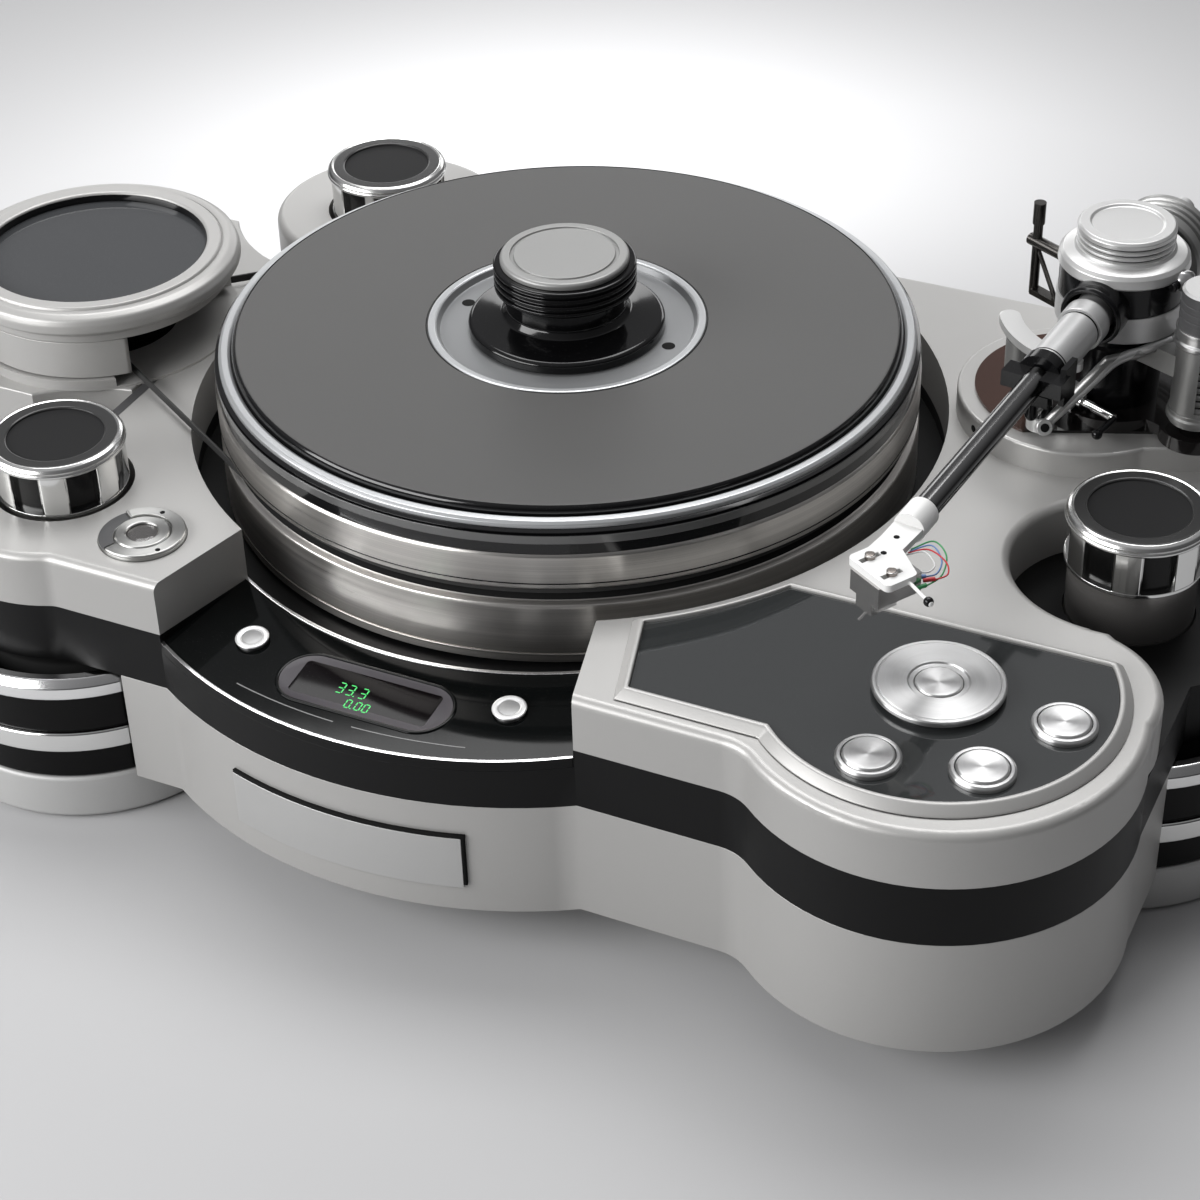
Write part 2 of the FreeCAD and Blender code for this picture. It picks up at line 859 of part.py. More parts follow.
def make_right_plate():
    z, height = plate_low, d.plate_thickness
    core = box("right_core", 60, d.pod_x, -d.front_edge, d.rear_edge, z, z + height)
    side = box("right_side", d.pod_x - d.pod_corner_radius, d.right_edge, d.pod_corner_y, d.rear_edge, z,
               z + height)
    pod = cylinder("right_pod", d.pod_radius, height, d.pod_x, d.pod_y, z)
    corner = cylinder("right_pod_corner", d.pod_corner_radius, height, d.pod_corner_x, d.pod_corner_y, z)
    bay = cylinder("right_bay", d.bay_radius, height, d.bay_x, d.bay_y, z)
    mouth = box("right_bay_mouth", d.bay_x, FAR, d.pod_corner_y + d.pod_corner_radius, d.bay_rear_y, z,
                z + height)
    flank = box("right_flank", d.pod_corner_x, FAR, d.pod_corner_y, d.bay_rear_y, z, z + height)
    flank = cut("right_flank_cut", flank, cylinder("right_flank_round", d.pod_corner_radius, height,
                                                   d.pod_corner_x, d.pod_corner_y, z))
    outline = fuse("right_outline", core, cut("right_side_cut", side, flank, mouth), pod, corner)
    outline = cut("right_bay_cut", outline, bay, mouth)
    outline = round_outline("right_round", outline, d.right_edge, d.rear_edge)
    outline = fillet("right_bay_round", outline, d.bay_fillet, upright(d.right_edge, d.bay_rear_y))
    well = cylinder("right_well", d.well_radius, height, 0, 0, z)
    sockets = [cylinder(f"{name}_socket", d.button_cap_radius + d.button_gap, TALL, x, y,
                        plate_top - d.button_travel - d.button_gap) for name, x, y in button_spots()]
    sockets.append(cylinder("disc_socket", d.disc_button_radius + d.button_gap, TALL, d.pod_x, d.pod_y,
                            plate_top - d.disc_button_travel - d.button_gap))
    plate = cut("right_cut", outline, well, deck_outline("right_front_deck", -1, z, height),
                deck_outline("right_rear_deck", 1, z, height), *sockets)
    return node("top_plate_right", fillet("top_plate_right", plate, d.plate_edge_round,
                                          outer_top_edge(d.well_radius, d.deck_outer_half)))


# Suspension towers


def make_towers():
    """Three feet with an air spring and a column each, under a cap that turns."""
    bases, housings, rings, springs, columns = [], [], [], [], []
    for tower, (x, y) in TOWER_PLACES.items():
        bases.append(turned(f"foot_base_{tower}", [
            (0, 0), (d.foot_radius - d.foot_base_chamfer, 0), (d.foot_radius, d.foot_base_chamfer),
            (d.foot_radius, d.foot_base_height), (0, d.foot_base_height)], x, y))
        seat = d.foot_radius - d.ring_seat_depth
        recess = d.foot_top_height - d.spring_recess_depth
        housings.append(turned(f"foot_housing_{tower}", [
            (0, d.foot_base_height), (d.foot_radius - 1, d.foot_base_height),
            (d.foot_radius - 1, d.ring_low), (seat, d.ring_low), (seat, d.ring_high),
            (d.foot_radius - 1, d.ring_high), (d.foot_radius - 1, d.foot_top_height),
            (d.spring_recess_radius, d.foot_top_height), (d.spring_recess_radius, recess),
            (d.column_radius, recess), (d.column_radius, recess - 6), (0, recess - 6)], x, y))
        rings.append(turned(f"foot_ring_{tower}", [
            (seat, d.ring_low), (d.foot_radius + d.ring_proud, d.ring_low),
            (d.foot_radius + d.ring_proud, d.ring_high), (seat, d.ring_high)], x, y))
        collar_top = d.foot_top_height + d.collar_height
        rings.append(turned(f"foot_collar_{tower}", [
            (d.foot_radius - d.collar_width, d.foot_top_height), (d.foot_radius, d.foot_top_height),
            (d.foot_radius, collar_top - d.collar_chamfer), (d.foot_radius - d.collar_chamfer, collar_top),
            (d.foot_radius - d.collar_width, collar_top)], x, y))
        middle = (recess + band_low) / 2
        springs.append(turned(f"air_spring_{tower}", [
            (d.spring_inner_radius, recess), (d.spring_outer_radius, recess),
            (d.spring_outer_radius - d.spring_waist, middle), (d.spring_outer_radius, band_low),
            (d.spring_inner_radius, band_low)], x, y))
        columns.append(cylinder(f"column_{tower}", d.column_radius, d.cap_base_height - recess + 6, x, y,
                                recess - 6))
        make_cap(tower, x, y, CAP_TURNS[tower])
    node("foot_bases", group("foot_bases", bases))
    node("foot_housings", group("foot_housings", housings))
    node("foot_rings", group("foot_rings", rings))
    node("air_springs", group("air_springs", springs))
    node("suspension_columns", group("suspension_columns", columns))


def make_cap(tower, x, y, turn):
    """A turning cap: a skirt with sunk windows, a bright rim, and a dark disc let into its top."""
    low = d.cap_base_height + d.arm_face_gap
    top = low + d.cap_height
    rim_low_edge = top - d.cap_rim_height
    blank = turned(f"cap_blank_{tower}", [
        (0, low), (d.cap_radius - 1, low), (d.cap_radius - 1, rim_low_edge),
        (d.cap_radius, rim_low_edge), (d.cap_radius, top - d.cap_rim_chamfer),
        (d.cap_radius - d.cap_rim_chamfer, top), (d.insert_radius, top),
        (d.insert_radius, top - d.insert_thickness), (0, top - d.insert_thickness)], x, y)
    windows = []
    count = int(d.cap_windows.number)
    for index in range(count):
        angle = 360 / d.cap_windows * index + turn
        inner = d.cap_radius - 1 - d.window_depth
        windows.append(turned_box(
            f"window_{tower}_{index}", d.window_depth * 2, d.window_width, d.window_height,
            x + inner * cosine(angle), y + inner * sine(angle), low + d.window_sill, angle))
    skirt = cut(f"cap_skirt_{tower}", blank, *windows)
    insert_top = top - 0.4
    insert = turned(f"cap_insert_{tower}", [
        (0, top - d.insert_thickness), (d.insert_radius, top - d.insert_thickness),
        (d.insert_radius, top), (d.insert_disc_radius + 0.8, top),
        (d.insert_disc_radius, insert_top), (0, insert_top)], x, y)
    node(f"cap_{tower}", group(f"cap_{tower}", [skirt, insert]))


# Display and front


def make_display():
    """The sloping panel between the plates, its two bright trims, its window and two buttons."""
    plan = meet("panel_plan", deck_outline("panel_deck", -1, band_low, TALL, d.panel_side_gap),
                cylinder("panel_front_disc", d.bulge_radius, TALL, 0, -d.bulge_offset, band_low))
    panel = meet("panel_slab", cut("panel_ring", plan, cylinder(
        "panel_well", d.well_radius, TALL, 0, 0, band_low)), sloping_block("panel_slope", d.panel_thickness, 0))
    button_holes = [cylinder(f"pitch_hole_{side}", d.pitch_button_radius + d.button_gap, TALL,
                             side * d.pitch_button_x, d.pitch_button_y, band_low) for side in (-1, 1)]
    window_tool = stadium("window_tool", 0, d.window_centre_y, d.window_half_length, d.window_half_depth,
                          band_low, TALL)
    window_tool = meet("window_pocket", window_tool, sloping_block(
        "window_slope", d.window_depth_in_panel, TALL))
    front_strip = cut("front_strip", plan, cylinder(
        "front_strip_inner", d.bulge_radius - d.trim_width, TALL, 0, -d.bulge_offset, band_low))
    rear_strip = meet("rear_strip", plan, cut("rear_strip_ring", cylinder(
        "rear_strip_outer", d.well_radius + d.trim_width, TALL, 0, 0, band_low), cylinder(
        "rear_strip_inner", d.well_radius, TALL, 0, 0, band_low)))
    trims = []
    for name, strip in (("front_trim", front_strip), ("rear_trim", rear_strip)):
        trims.append(meet(name, strip, sloping_block(f"{name}_slope", d.panel_thickness, d.trim_proud)))
    node("display_trims", group("display_trims", trims))
    panel = cut("display_panel", panel, window_tool, *button_holes, cylinder(
        "panel_trim_rear", d.well_radius + d.trim_width, TALL, 0, 0, band_low), front_strip)
    node("display_panel", panel)
    lens_plan = stadium("lens_plan", 0, d.window_centre_y, d.window_half_length - d.panel_side_gap,
                        d.window_half_depth - d.panel_side_gap, band_low, TALL)
    node("display_window", meet("display_window", lens_plan, sloping_block(
        "lens_slope", d.window_depth_in_panel, -0.2)))
    for side, name in ((-1, "pitch_low_button"), (1, "pitch_high_button")):
        plan = cylinder(f"{name}_plan", d.pitch_button_radius, TALL, side * d.pitch_button_x,
                        d.pitch_button_y, band_low)
        body = meet(f"{name}_body", plan, sloping_block(
            f"{name}_slope", d.panel_thickness - d.pitch_button_travel - 0.3, d.pitch_button_proud))
        node(name, fillet(name, body, 0.8, lambda middle, ends: len(ends) < 2 and
                          middle.z > d.panel_rear_height.number - 2))


def stadium(name, x, y, half_length, half_depth, z, height):
    """A slot shape with round ends, along X."""
    half_length, half_depth = Size.of(half_length), Size.of(half_depth)
    offset = half_length - half_depth
    return fuse(name, box(f"{name}_box", x - offset, x + offset, y - half_depth, y + half_depth, z, z + height),
                cylinder(f"{name}_low", half_depth, height, x - offset, y, z),
                cylinder(f"{name}_high", half_depth, height, x + offset, y, z))


def make_name_plate():
    """A bare curved plate on the front face."""
    z, height = d.name_plate_low, d.name_plate_high - d.name_plate_low
    ring = cut("name_plate_ring", cylinder("name_plate_outer", d.bulge_radius + d.name_plate_thickness, height,
                                           0, -d.bulge_offset, z),
               cylinder("name_plate_inner", d.bulge_radius, height, 0, -d.bulge_offset, z))
    node("name_plate", meet("name_plate", ring, box(
        "name_plate_box", -d.name_plate_half_width, d.name_plate_half_width, -FAR, -d.bulge_offset, z,
        z + height)))


def make_rear():
    """The plain rear deck between the two plates."""
    plan = meet("rear_plan", deck_outline("rear_deck_plan", 1, plate_low - d.panel_thickness,
                                          d.panel_thickness, d.panel_side_gap),
                cylinder("rear_disc", d.rear_bulge_radius, TALL, 0, d.rear_bulge_offset, band_low))
    node("rear_deck", cut("rear_deck", plan, cylinder("rear_well", d.well_radius, TALL, 0, 0, band_low)))


# Control pod


def control_outline(name, grow, z, height):
    """The control glass's outline: round about the pod, straight in front, hollow at the platter."""
    grow = Size.of(grow)
    lean = sine(d.glass_left_lean) / cosine(d.glass_left_lean)
    side = grow / cosine(d.glass_left_lean)
    front, rear = d.glass_front_y - grow, d.glass_rear_y + grow
    left_front = d.glass_left_x - side + lean * (d.glass_front_y - front)
    left_rear = d.glass_left_x - side - lean * (rear - d.glass_front_y)
    flag = padded(f"{name}_flag", [(left_front, front), (d.pod_x, front), (d.pod_x, rear), (left_rear, rear)],
                  height, z)
    disc = cylinder(f"{name}_disc", d.glass_radius + grow, height, d.pod_x - 1.5, d.pod_y + 2, z)
    below = box(f"{name}_below", -FAR, FAR, -FAR, rear, z, z + height)
    well = cylinder(f"{name}_well", d.glass_well_radius - grow, height, 0, 0, z)
    return cut(f"{name}_plan", meet(f"{name}_meet", fuse(f"{name}_fuse", flag, disc), below), well)


def button_spots():
    """The three round buttons on their circle about the pod's disc, clockwise from the front."""
    spots = []
    for index, name in enumerate(("stop_button", "speed_button", "suction_button")):
        angle = d.button_first_angle + index * d.button_pitch_angle
        spots.append((name, d.pod_x + d.button_circle_radius * cosine(angle),
                      d.pod_y + d.button_circle_radius * sine(angle)))
    return spots


def make_controls():
    """The raised bezel, the black glass, the turned disc and the buttons."""
    outer = control_outline("bezel_outer", d.bezel_width, plate_top, bezel_top - plate_top)
    top = bezel_top.number
    outer = chamfer("bezel_slope", outer, d.bezel_chamfer,
                    lambda middle, ends: abs(middle.z - top) < 1e-3 and all(
                        abs(end.z - top) < 1e-3 for end in ends))
    opening = control_outline("bezel_opening", d.glass_gap, glass_low, TALL)
    spots = button_spots()
    node("control_bezel", cut("control_bezel", outer, opening))
    holes = [cylinder(f"{name}_hole", d.button_cap_radius + d.button_gap, TALL, x, y, glass_low)
             for name, x, y in spots]
    holes.append(cylinder("disc_hole", d.disc_button_radius + d.button_gap, TALL, d.pod_x, d.pod_y, glass_low))
    node("control_glass", cut("control_glass", control_outline(
        "glass", 0, glass_low, d.glass_thickness), *holes))
    disc_low = d.glass_height
    disc_mid = disc_low + d.disc_hub_height
    disc_top = disc_mid + d.disc_thickness
    bore = d.disc_button_radius + d.button_gap
    disc = turned("control_disc", [
        (bore, disc_low), (d.disc_hub_radius, disc_low), (d.disc_hub_radius, disc_mid),
        (d.disc_radius - 0.5, disc_mid), (d.disc_radius, disc_mid + 0.5), (d.disc_radius, disc_top - 0.5),
        (d.disc_radius - 0.5, disc_top), (d.disc_well_radius, disc_top),
        (d.disc_well_radius, disc_top - 0.8), (bore, disc_top - 0.8)], d.pod_x, d.pod_y)
    node("disc_button", push_cap("disc_button", d.disc_button_radius,
                                 glass_low, disc_top - 0.8 + d.disc_button_proud, d.pod_x, d.pod_y))
    rings = [disc]
    ring_top = d.glass_height + d.button_ring_height
    for name, x, y in spots:
        inner = d.button_cap_radius + d.button_gap
        rings.append(turned(f"{name}_ring", [
            (inner, d.glass_height), (d.button_ring_radius, d.glass_height),
            (d.button_ring_radius, ring_top - 0.9), (d.button_ring_radius - 0.9, ring_top),
            (inner, ring_top)], x, y))
        node(name, push_cap(name, d.button_cap_radius, glass_low, ring_top + d.button_cap_proud, x, y))
    node("control_rings", group("control_rings", rings))


def push_cap(name, radius, low, top, x, y):
    """A round key with a softened edge and a shallow dished top."""
    return turned(name, [(0, low), (radius, low), (radius, top - 0.8), (radius - 0.8, top),
                         (radius * 0.6, top), (0, top - 0.4)], x, y)


def make_level():
    """The round spirit level let into the front left plate."""
    low = plate_top - d.level_depth + d.level_height
    top = plate_top + d.level_height
    floor = low + 1.2
    ring = turned("level_ring", [
        (0, low), (d.level_radius, low), (d.level_radius, top - 0.6), (d.level_radius - 0.6, top),
        (d.level_step_radius, top), (d.level_step_radius, top - 0.8), (d.level_bore_radius, top - 1.2),
        (d.level_bore_radius, floor), (0, floor)], d.level_x, d.level_y)
    vial_top = top - 0.4
    vial = turned("level_vial", [
        (0, floor), (d.level_vial_radius, floor), (d.level_vial_radius, vial_top - 1),
        (d.level_vial_radius * 0.7, vial_top - 0.3), (0, vial_top)], d.level_x, d.level_y)
    node("spirit_level", group("spirit_level", [ring, vial]))


# Platter and its bearing


def make_platter():
    """Air bearing plate, bearing, two platter discs, grooved rim, ring, mat, centre and spindle."""
    node("air_bearing_plate", turned("air_bearing_plate", [
        (d.bearing_plate_bore, well_floor), (d.bearing_plate_radius, well_floor),
        (d.bearing_plate_radius, well_floor + d.bearing_plate_thickness),
        (d.bearing_plate_bore, well_floor + d.bearing_plate_thickness)]))
    housing_bore = d.shaft_radius + d.shaft_clearance
    housing_low = well_floor - d.bearing_depth
    flange_top = well_floor + d.bearing_flange_height
    node("bearing_housing", turned("bearing_housing", [
        (0, housing_low), (d.bearing_radius, housing_low), (d.bearing_radius, well_floor),
        (d.bearing_flange_radius, well_floor), (d.bearing_flange_radius, flange_top),
        (housing_bore, flange_top), (housing_bore, housing_low + d.shaft_end_gap),
        (0, housing_low + d.shaft_end_gap)]))
    shaft_low = housing_low + 2 * d.shaft_end_gap
    lower_top = platter_low + d.lower_platter_height
    band_top = platter_low + d.lower_band_height
    shoulder = platter_radius - d.lower_shoulder_inset
    node("lower_platter", turned("lower_platter", [
        (d.shaft_radius, platter_low), (platter_radius - 1, platter_low),
        (platter_radius, platter_low + 1), (platter_radius, band_top - 0.6),
        (platter_radius - 0.6, band_top), (shoulder, band_top),
        (shoulder, band_top + d.lower_shoulder_height), (shoulder - 1, band_top + d.lower_shoulder_height + 1),
        (groove_radius, lower_top), (d.shaft_radius, lower_top)]))
    node("upper_platter", turned("upper_platter", [
        (d.shaft_radius, groove_low), (groove_radius, groove_low), (groove_radius, band_two_low),
        (platter_radius - 0.6, band_two_low), (platter_radius, band_two_low + 0.6),
        (platter_radius, rim_low - 0.6), (platter_radius - 0.6, rim_low), (d.shaft_radius, rim_low)]))
    make_rim()
    node("platter_mat", turned("platter_mat", [
        (d.centre_radius, rim_top), (mat_radius, rim_top),
        (mat_radius, rim_top + d.mat_thickness - d.mat_round),
        (mat_radius - d.mat_round, rim_top + d.mat_thickness),
        (d.centre_radius, rim_top + d.mat_thickness)]))
    lip_top = rim_top + d.mat_thickness
    centre = turned("centre_blank", [
        (d.shaft_radius, rim_top), (d.centre_radius, rim_top), (d.centre_radius, lip_top - 0.6),
        (d.centre_radius - 0.6, lip_top), (d.centre_lip_radius + 1.6, lip_top),
        (d.centre_lip_radius, centre_floor), (d.shaft_radius, centre_floor)])
    holes = [cylinder(f"centre_hole_{side}", d.centre_hole_radius, 2 * d.centre_floor_height,
                      side * d.centre_hole_circle, 0, rim_top) for side in (-1, 1)]
    node("centre_plate", cut("centre_plate", centre, *holes))
    spindle_top = centre_floor + d.spindle_height
    node("spindle", turned("spindle", [
        (0, shaft_low), (d.shaft_radius, shaft_low), (d.shaft_radius, centre_floor),
        (d.spindle_radius, centre_floor), (d.spindle_radius, spindle_top - 2.5),
        (d.spindle_radius * 0.55, spindle_top), (0, spindle_top)]))


def make_rim():
    """The black rim, with two turned grooves, that carries the bright ring and the mat."""
    inset = rim_radius - d.rim_groove_depth
    first = rim_low + d.rim_height * 0.42
    second = rim_low + d.rim_height * 0.72
    ring_seat = rim_top - d.platter_ring_height / 2
    node("platter_rim", turned("platter_rim", [
        (d.shaft_radius, rim_low), (rim_radius, rim_low), (rim_radius, first), (inset, first),
        (inset, first + d.rim_groove_height), (rim_radius, first + d.rim_groove_height),
        (rim_radius, second), (inset, second), (inset, second + d.rim_groove_height),
        (rim_radius, second + d.rim_groove_height), (rim_radius - d.rim_top_inset, ring_seat),
        (ring_inner_radius, ring_seat), (ring_inner_radius, rim_top), (d.shaft_radius, rim_top)]))
    ring_top = ring_seat + d.platter_ring_height
    node("platter_ring", turned("platter_ring", [
        (ring_inner_radius, ring_seat), (ring_outer_radius, ring_seat),
        (ring_outer_radius, ring_top - 1), (ring_outer_radius - 1, ring_top - 0.2),
        (ring_inner_radius + 1.2, ring_top), (ring_inner_radius, ring_top - 1)]))


def make_clamp():
    """The record clamp: a flanged, waisted body with a grooved grip and a bright top."""
    low = centre_floor + d.clamp_seat_gap
    flange = low + d.clamp_flange_height
    cone_top = flange + d.clamp_cone_height
    grip_low = cone_top + d.clamp_neck_height
    grip_top = grip_low + d.clamp_grip_height
    bore = d.spindle_radius + d.clamp_bore_gap
    bore_top = low + d.clamp_bore_depth
    step = d.clamp_grip_height / 4
    profile = [(bore, low), (d.clamp_flange_radius, low), (d.clamp_flange_radius, flange - 1),
               (d.clamp_flange_radius - 1, flange), (d.clamp_neck_radius + 6, cone_top - 2),
               (d.clamp_neck_radius, cone_top), (d.clamp_neck_radius, grip_low),
               (d.clamp_grip_radius, grip_low + 1.5)]
    for index in (1, 2, 3):
        groove = grip_low + step * index
        profile += [(d.clamp_grip_radius, groove), (d.clamp_grip_radius - d.clamp_grip_groove, groove),
                    (d.clamp_grip_radius - d.clamp_grip_groove, groove + step * 0.4),
                    (d.clamp_grip_radius, groove + step * 0.4)]
    profile += [(d.clamp_grip_radius, grip_top), (0, grip_top), (0, bore_top), (bore, bore_top)]
    node("clamp_body", turned("clamp_body", profile))
    top = grip_top + d.clamp_top_height
    groove_low_radius = d.clamp_top_groove_radius
    groove_high_radius = groove_low_radius + d.clamp_top_groove_width
    node("clamp_top", turned("clamp_top", [
        (0, grip_top), (d.clamp_top_radius, grip_top), (d.clamp_top_radius, top - 1),
        (d.clamp_top_radius - 1, top), (groove_high_radius, top), (groove_high_radius, top - 0.9),
        (groove_low_radius, top - 0.9), (groove_low_radius, top), (0, top)]))


# Motor unit


def make_motor_base():
    """The block that stands in the chassis's left notch, with the pedestal for the cover."""
    right = -left_edge - d.motor_base_gap
    low = d.motor_foot_height
    height = plate_top - low
    block = box("motor_block", -motor_base_left, right, -d.motor_base_front, d.motor_base_rear, low,
                low + height)
    left_x = -motor_base_left.number

    def outer_corner(middle, ends):
        return len(ends) == 2 and abs(ends[0].z - ends[1].z) > 1 and abs(middle.x - left_x) < 0.01
    block = fillet("motor_block_round", block, d.motor_base_round, outer_corner)
    drum = cylinder("motor_drum", d.pedestal_radius + d.motor_base_gap, height, motor_x, d.motor_y, low)
    drum = meet("motor_drum_trim", drum, box("motor_drum_box", -FAR, right, -FAR, FAR, low, low + height))
    reach = d.foot_radius + d.motor_tower_gap
    bays = [cylinder(f"motor_bay_{tower}", reach, height, *TOWER_PLACES[tower], low)
            for tower in ("front_left", "rear_left")]
    block = cut("motor_block_cut", fuse("motor_block_all", block, drum), *bays)
    top = plate_top.number
    block = fillet("motor_block_soft", block, d.small_edge_round, lambda middle, ends: abs(
        middle.z - top) < 1e-3 and all(abs(end.z - top) < 1e-3 for end in ends))
    disc = cylinder("pedestal_disc", d.pedestal_radius, d.pedestal_height, motor_x, d.motor_y, plate_top)
    half, nose = d.pedestal_nose_half, d.pedestal_nose_x
    slope = half / 2
    tip = padded("pedestal_nose", [
        (motor_x, d.motor_y - d.cover_radius), (motor_x + slope, d.motor_y - half - slope / 2),
        (motor_x + nose, d.motor_y - slope), (motor_x + nose, d.motor_y + slope),
        (motor_x + slope, d.motor_y + half + slope / 2), (motor_x, d.motor_y + d.cover_radius)],
        d.pedestal_height, plate_top)
    channel = padded("belt_channel", [
        (motor_x - 14, d.motor_y - d.belt_channel_near), (motor_x, d.motor_y - d.belt_channel_near),
        (motor_x + d.belt_channel_reach, d.motor_y - d.belt_channel_spread),
        (motor_x + d.belt_channel_reach, d.motor_y + d.belt_channel_spread + 10),
        (motor_x, d.motor_y + d.belt_channel_near), (motor_x - 14, d.motor_y + d.belt_channel_near)],
        TALL, plate_top + d.belt_channel_floor)
    pedestal = cut("pedestal", fuse("pedestal_all", disc, tip), channel)
    pocket_radius = d.motor_can_radius + d.motor_pocket_gap
    pocket = cylinder("motor_pocket", pocket_radius, d.motor_can_height + TALL, motor_x, d.motor_y,
                      plate_top - d.motor_can_height)
    node("motor_base", cut("motor_base", fuse("motor_base_all", block, pedestal), pocket))
    feet = []
    spread_x, spread_y = d.motor_foot_spread_x, d.motor_foot_spread_y
    for index, (side_x, side_y) in enumerate(((-1, -1), (1, -1), (1, 1), (-1, 1))):
        feet.append(cone(f"motor_foot_{index}", d.motor_foot_radius - 1.5, d.motor_foot_radius,
                         d.motor_foot_height, motor_x + side_x * spread_x - 2, d.motor_y + side_y * spread_y, 0))
    node("motor_feet", group("motor_feet", feet))


def make_motor_cover():
    """The round cover with a soft overhanging rim, a sunk glass disc and a slot for the belt."""
    low = pedestal_top + d.cover_gap
    top = low + d.cover_height
    rim = top - d.cover_rim_height
    inside = d.cover_radius - d.cover_wall
    floor = top - d.cover_glass_depth - d.cover_glass_thickness
    shell = turned("cover_shell", [
        (inside, low), (d.cover_radius, low), (d.cover_radius, rim - 3), (d.cover_rim_radius, rim),
        (d.cover_rim_radius, top - d.cover_rim_round - 1),
        (d.cover_rim_radius - d.cover_rim_round * 0.3, top - d.cover_rim_round * 0.3 - 1),
        (d.cover_rim_radius - d.cover_rim_round, top - 1), (d.cover_step_radius, top - 1 - d.cover_step_depth / 2),
        (d.cover_step_radius, top), (d.cover_glass_radius + 1, top), (d.cover_glass_radius, top - 0.8),
        (d.cover_glass_radius, floor), (d.cover_glass_radius - 4, floor), (d.cover_glass_radius - 4, floor - 3),
        (inside, floor - 3)], motor_x, d.motor_y)
    slot = box("cover_slot", motor_x + d.cover_slot_x, motor_x + FAR, d.motor_y - d.cover_slot_half,
               d.motor_y + d.cover_slot_half, low, low + d.cover_slot_height)
    node("motor_cover", cut("motor_cover", shell, slot))
    glass_top = top - d.cover_glass_depth
    node("motor_glass", turned("motor_glass", [
        (0, glass_top - d.cover_glass_thickness), (d.cover_glass_radius, glass_top - d.cover_glass_thickness),
        (d.cover_glass_radius, glass_top), (0, glass_top)], motor_x, d.motor_y))


def make_drive():
    """The motor, its crowned pulley and the flat belt that runs round the platter's groove."""
    can_low = plate_top - d.motor_can_height
    can_top = plate_top - 1
    bore = d.motor_shaft_radius + d.shaft_clearance
    shaft_low = plate_top - d.motor_shaft_length
    node("drive_motor", turned("drive_motor", [
        (0, can_low), (d.motor_can_radius, can_low), (d.motor_can_radius, can_top), (bore, can_top),
        (bore, shaft_low - 2), (0, shaft_low - 2)], motor_x, d.motor_y))
    belt_low = groove_low + d.belt_rise
    belt_high = belt_low + d.belt_width
    middle = (belt_low + belt_high) / 2
    pulley_low = middle - d.pulley_height / 2
    pulley_high = middle + d.pulley_height / 2
    flange = d.pulley_radius + 1.5
    node("drive_pulley", turned("drive_pulley", [
        (0, shaft_low), (d.motor_shaft_radius, shaft_low), (d.motor_shaft_radius, pulley_low),
        (flange, pulley_low), (flange, pulley_low + 1), (d.pulley_radius - d.pulley_crown, belt_low - 0.3),
        (d.pulley_radius, middle), (d.pulley_radius - d.pulley_crown, belt_high + 0.3),
        (flange, pulley_high - 1), (flange, pulley_high), (0, pulley_high)], motor_x, d.motor_y))
    node("drive_belt", belt_loop(belt_low))


def belt_loop(low):
    """An open loop over the pulley and the groove: a ring of two arcs and two straight runs."""
    gap = 0.3
    distance = math.hypot(motor_x.number, d.motor_y.number)
    heading = math.atan2(d.motor_y.number, motor_x.number)
    inner_small = d.pulley_radius.number + gap
    inner_large = groove_radius.number + gap

    def face(grow):
        small, large = inner_small + grow, inner_large + grow
        lean = math.acos((large - small) / distance)

        def at(radius, centre, angle):
            return FreeCAD.Vector(centre * math.cos(heading) + radius * math.cos(heading + angle),
                                  centre * math.sin(heading) + radius * math.sin(heading + angle), low.number)
        edges = [Part.LineSegment(at(large, 0, lean), at(small, distance, lean)).toShape(),
                 Part.Arc(at(small, distance, lean), at(small, distance, 0), at(small, distance, -lean)).toShape(),
                 Part.LineSegment(at(small, distance, -lean), at(large, 0, -lean)).toShape(),
                 Part.Arc(at(large, 0, -lean), at(large, 0, math.pi), at(large, 0, lean)).toShape()]
        return Part.Face(Part.Wire(edges))
    item = document.addObject("Part::Feature", "drive_belt")
    item.Shape = face(d.belt_thickness.number).cut(face(0)).extrude(FreeCAD.Vector(0, 0, d.belt_width.number))
    return item


# Tonearm


def make_arm_board():
    """The raised board that carries the arm: round at the platter side, straight at its front."""
    height = d.board_height
    disc = cylinder("board_disc", d.board_radius, height, d.board_x, d.board_y, plate_top)
    front = d.board_y - d.board_radius
    flag = padded("board_flag", [
        (d.board_x, front), (d.board_corner_x, d.board_corner_y), (d.board_right, d.board_corner_y + d.board_front_rise),
        (d.board_right, d.board_rear), (d.board_x, d.board_rear)], height, plate_top)
    board = fuse("board_all", disc, flag)
    board = fillet("board_soft", board, d.board_round, upright(d.board_right, d.board_rear))
    top = board_top.number
    board = fillet("board_edge", board, d.board_edge_round, lambda middle, ends: abs(
        middle.z - top) < 1e-3 and all(abs(end.z - top) < 1e-3 for end in ends))
    node("arm_board", board)
    inlay = cylinder("inlay_disc", d.board_radius - d.inlay_margin, d.inlay_height, d.board_x, d.board_y,
                     board_top)
    strip = box("inlay_strip", d.board_x, d.board_right - d.inlay_margin, d.board_corner_y + d.inlay_margin,
                d.board_rear - d.inlay_margin, board_top, board_top + d.inlay_height)
    turn = d.board_front_turn
    shift = d.inlay_front_margin - FAR / 2
    wedge = turned_box("inlay_front", FAR * 2, FAR, d.inlay_height + 2,
                       d.board_x - FAR * cosine(turn) - shift * sine(turn),
                       front - FAR * sine(turn) + shift * cosine(turn), board_top - 1, turn)
    pad = cylinder("inlay_pad", d.pillar_foot_radius, d.inlay_height, d.pillar_x, d.pillar_y, board_top)
    return fuse("arm_board_inlay", cut("inlay_trimmed", fuse("inlay_all", inlay, strip), wedge), pad)


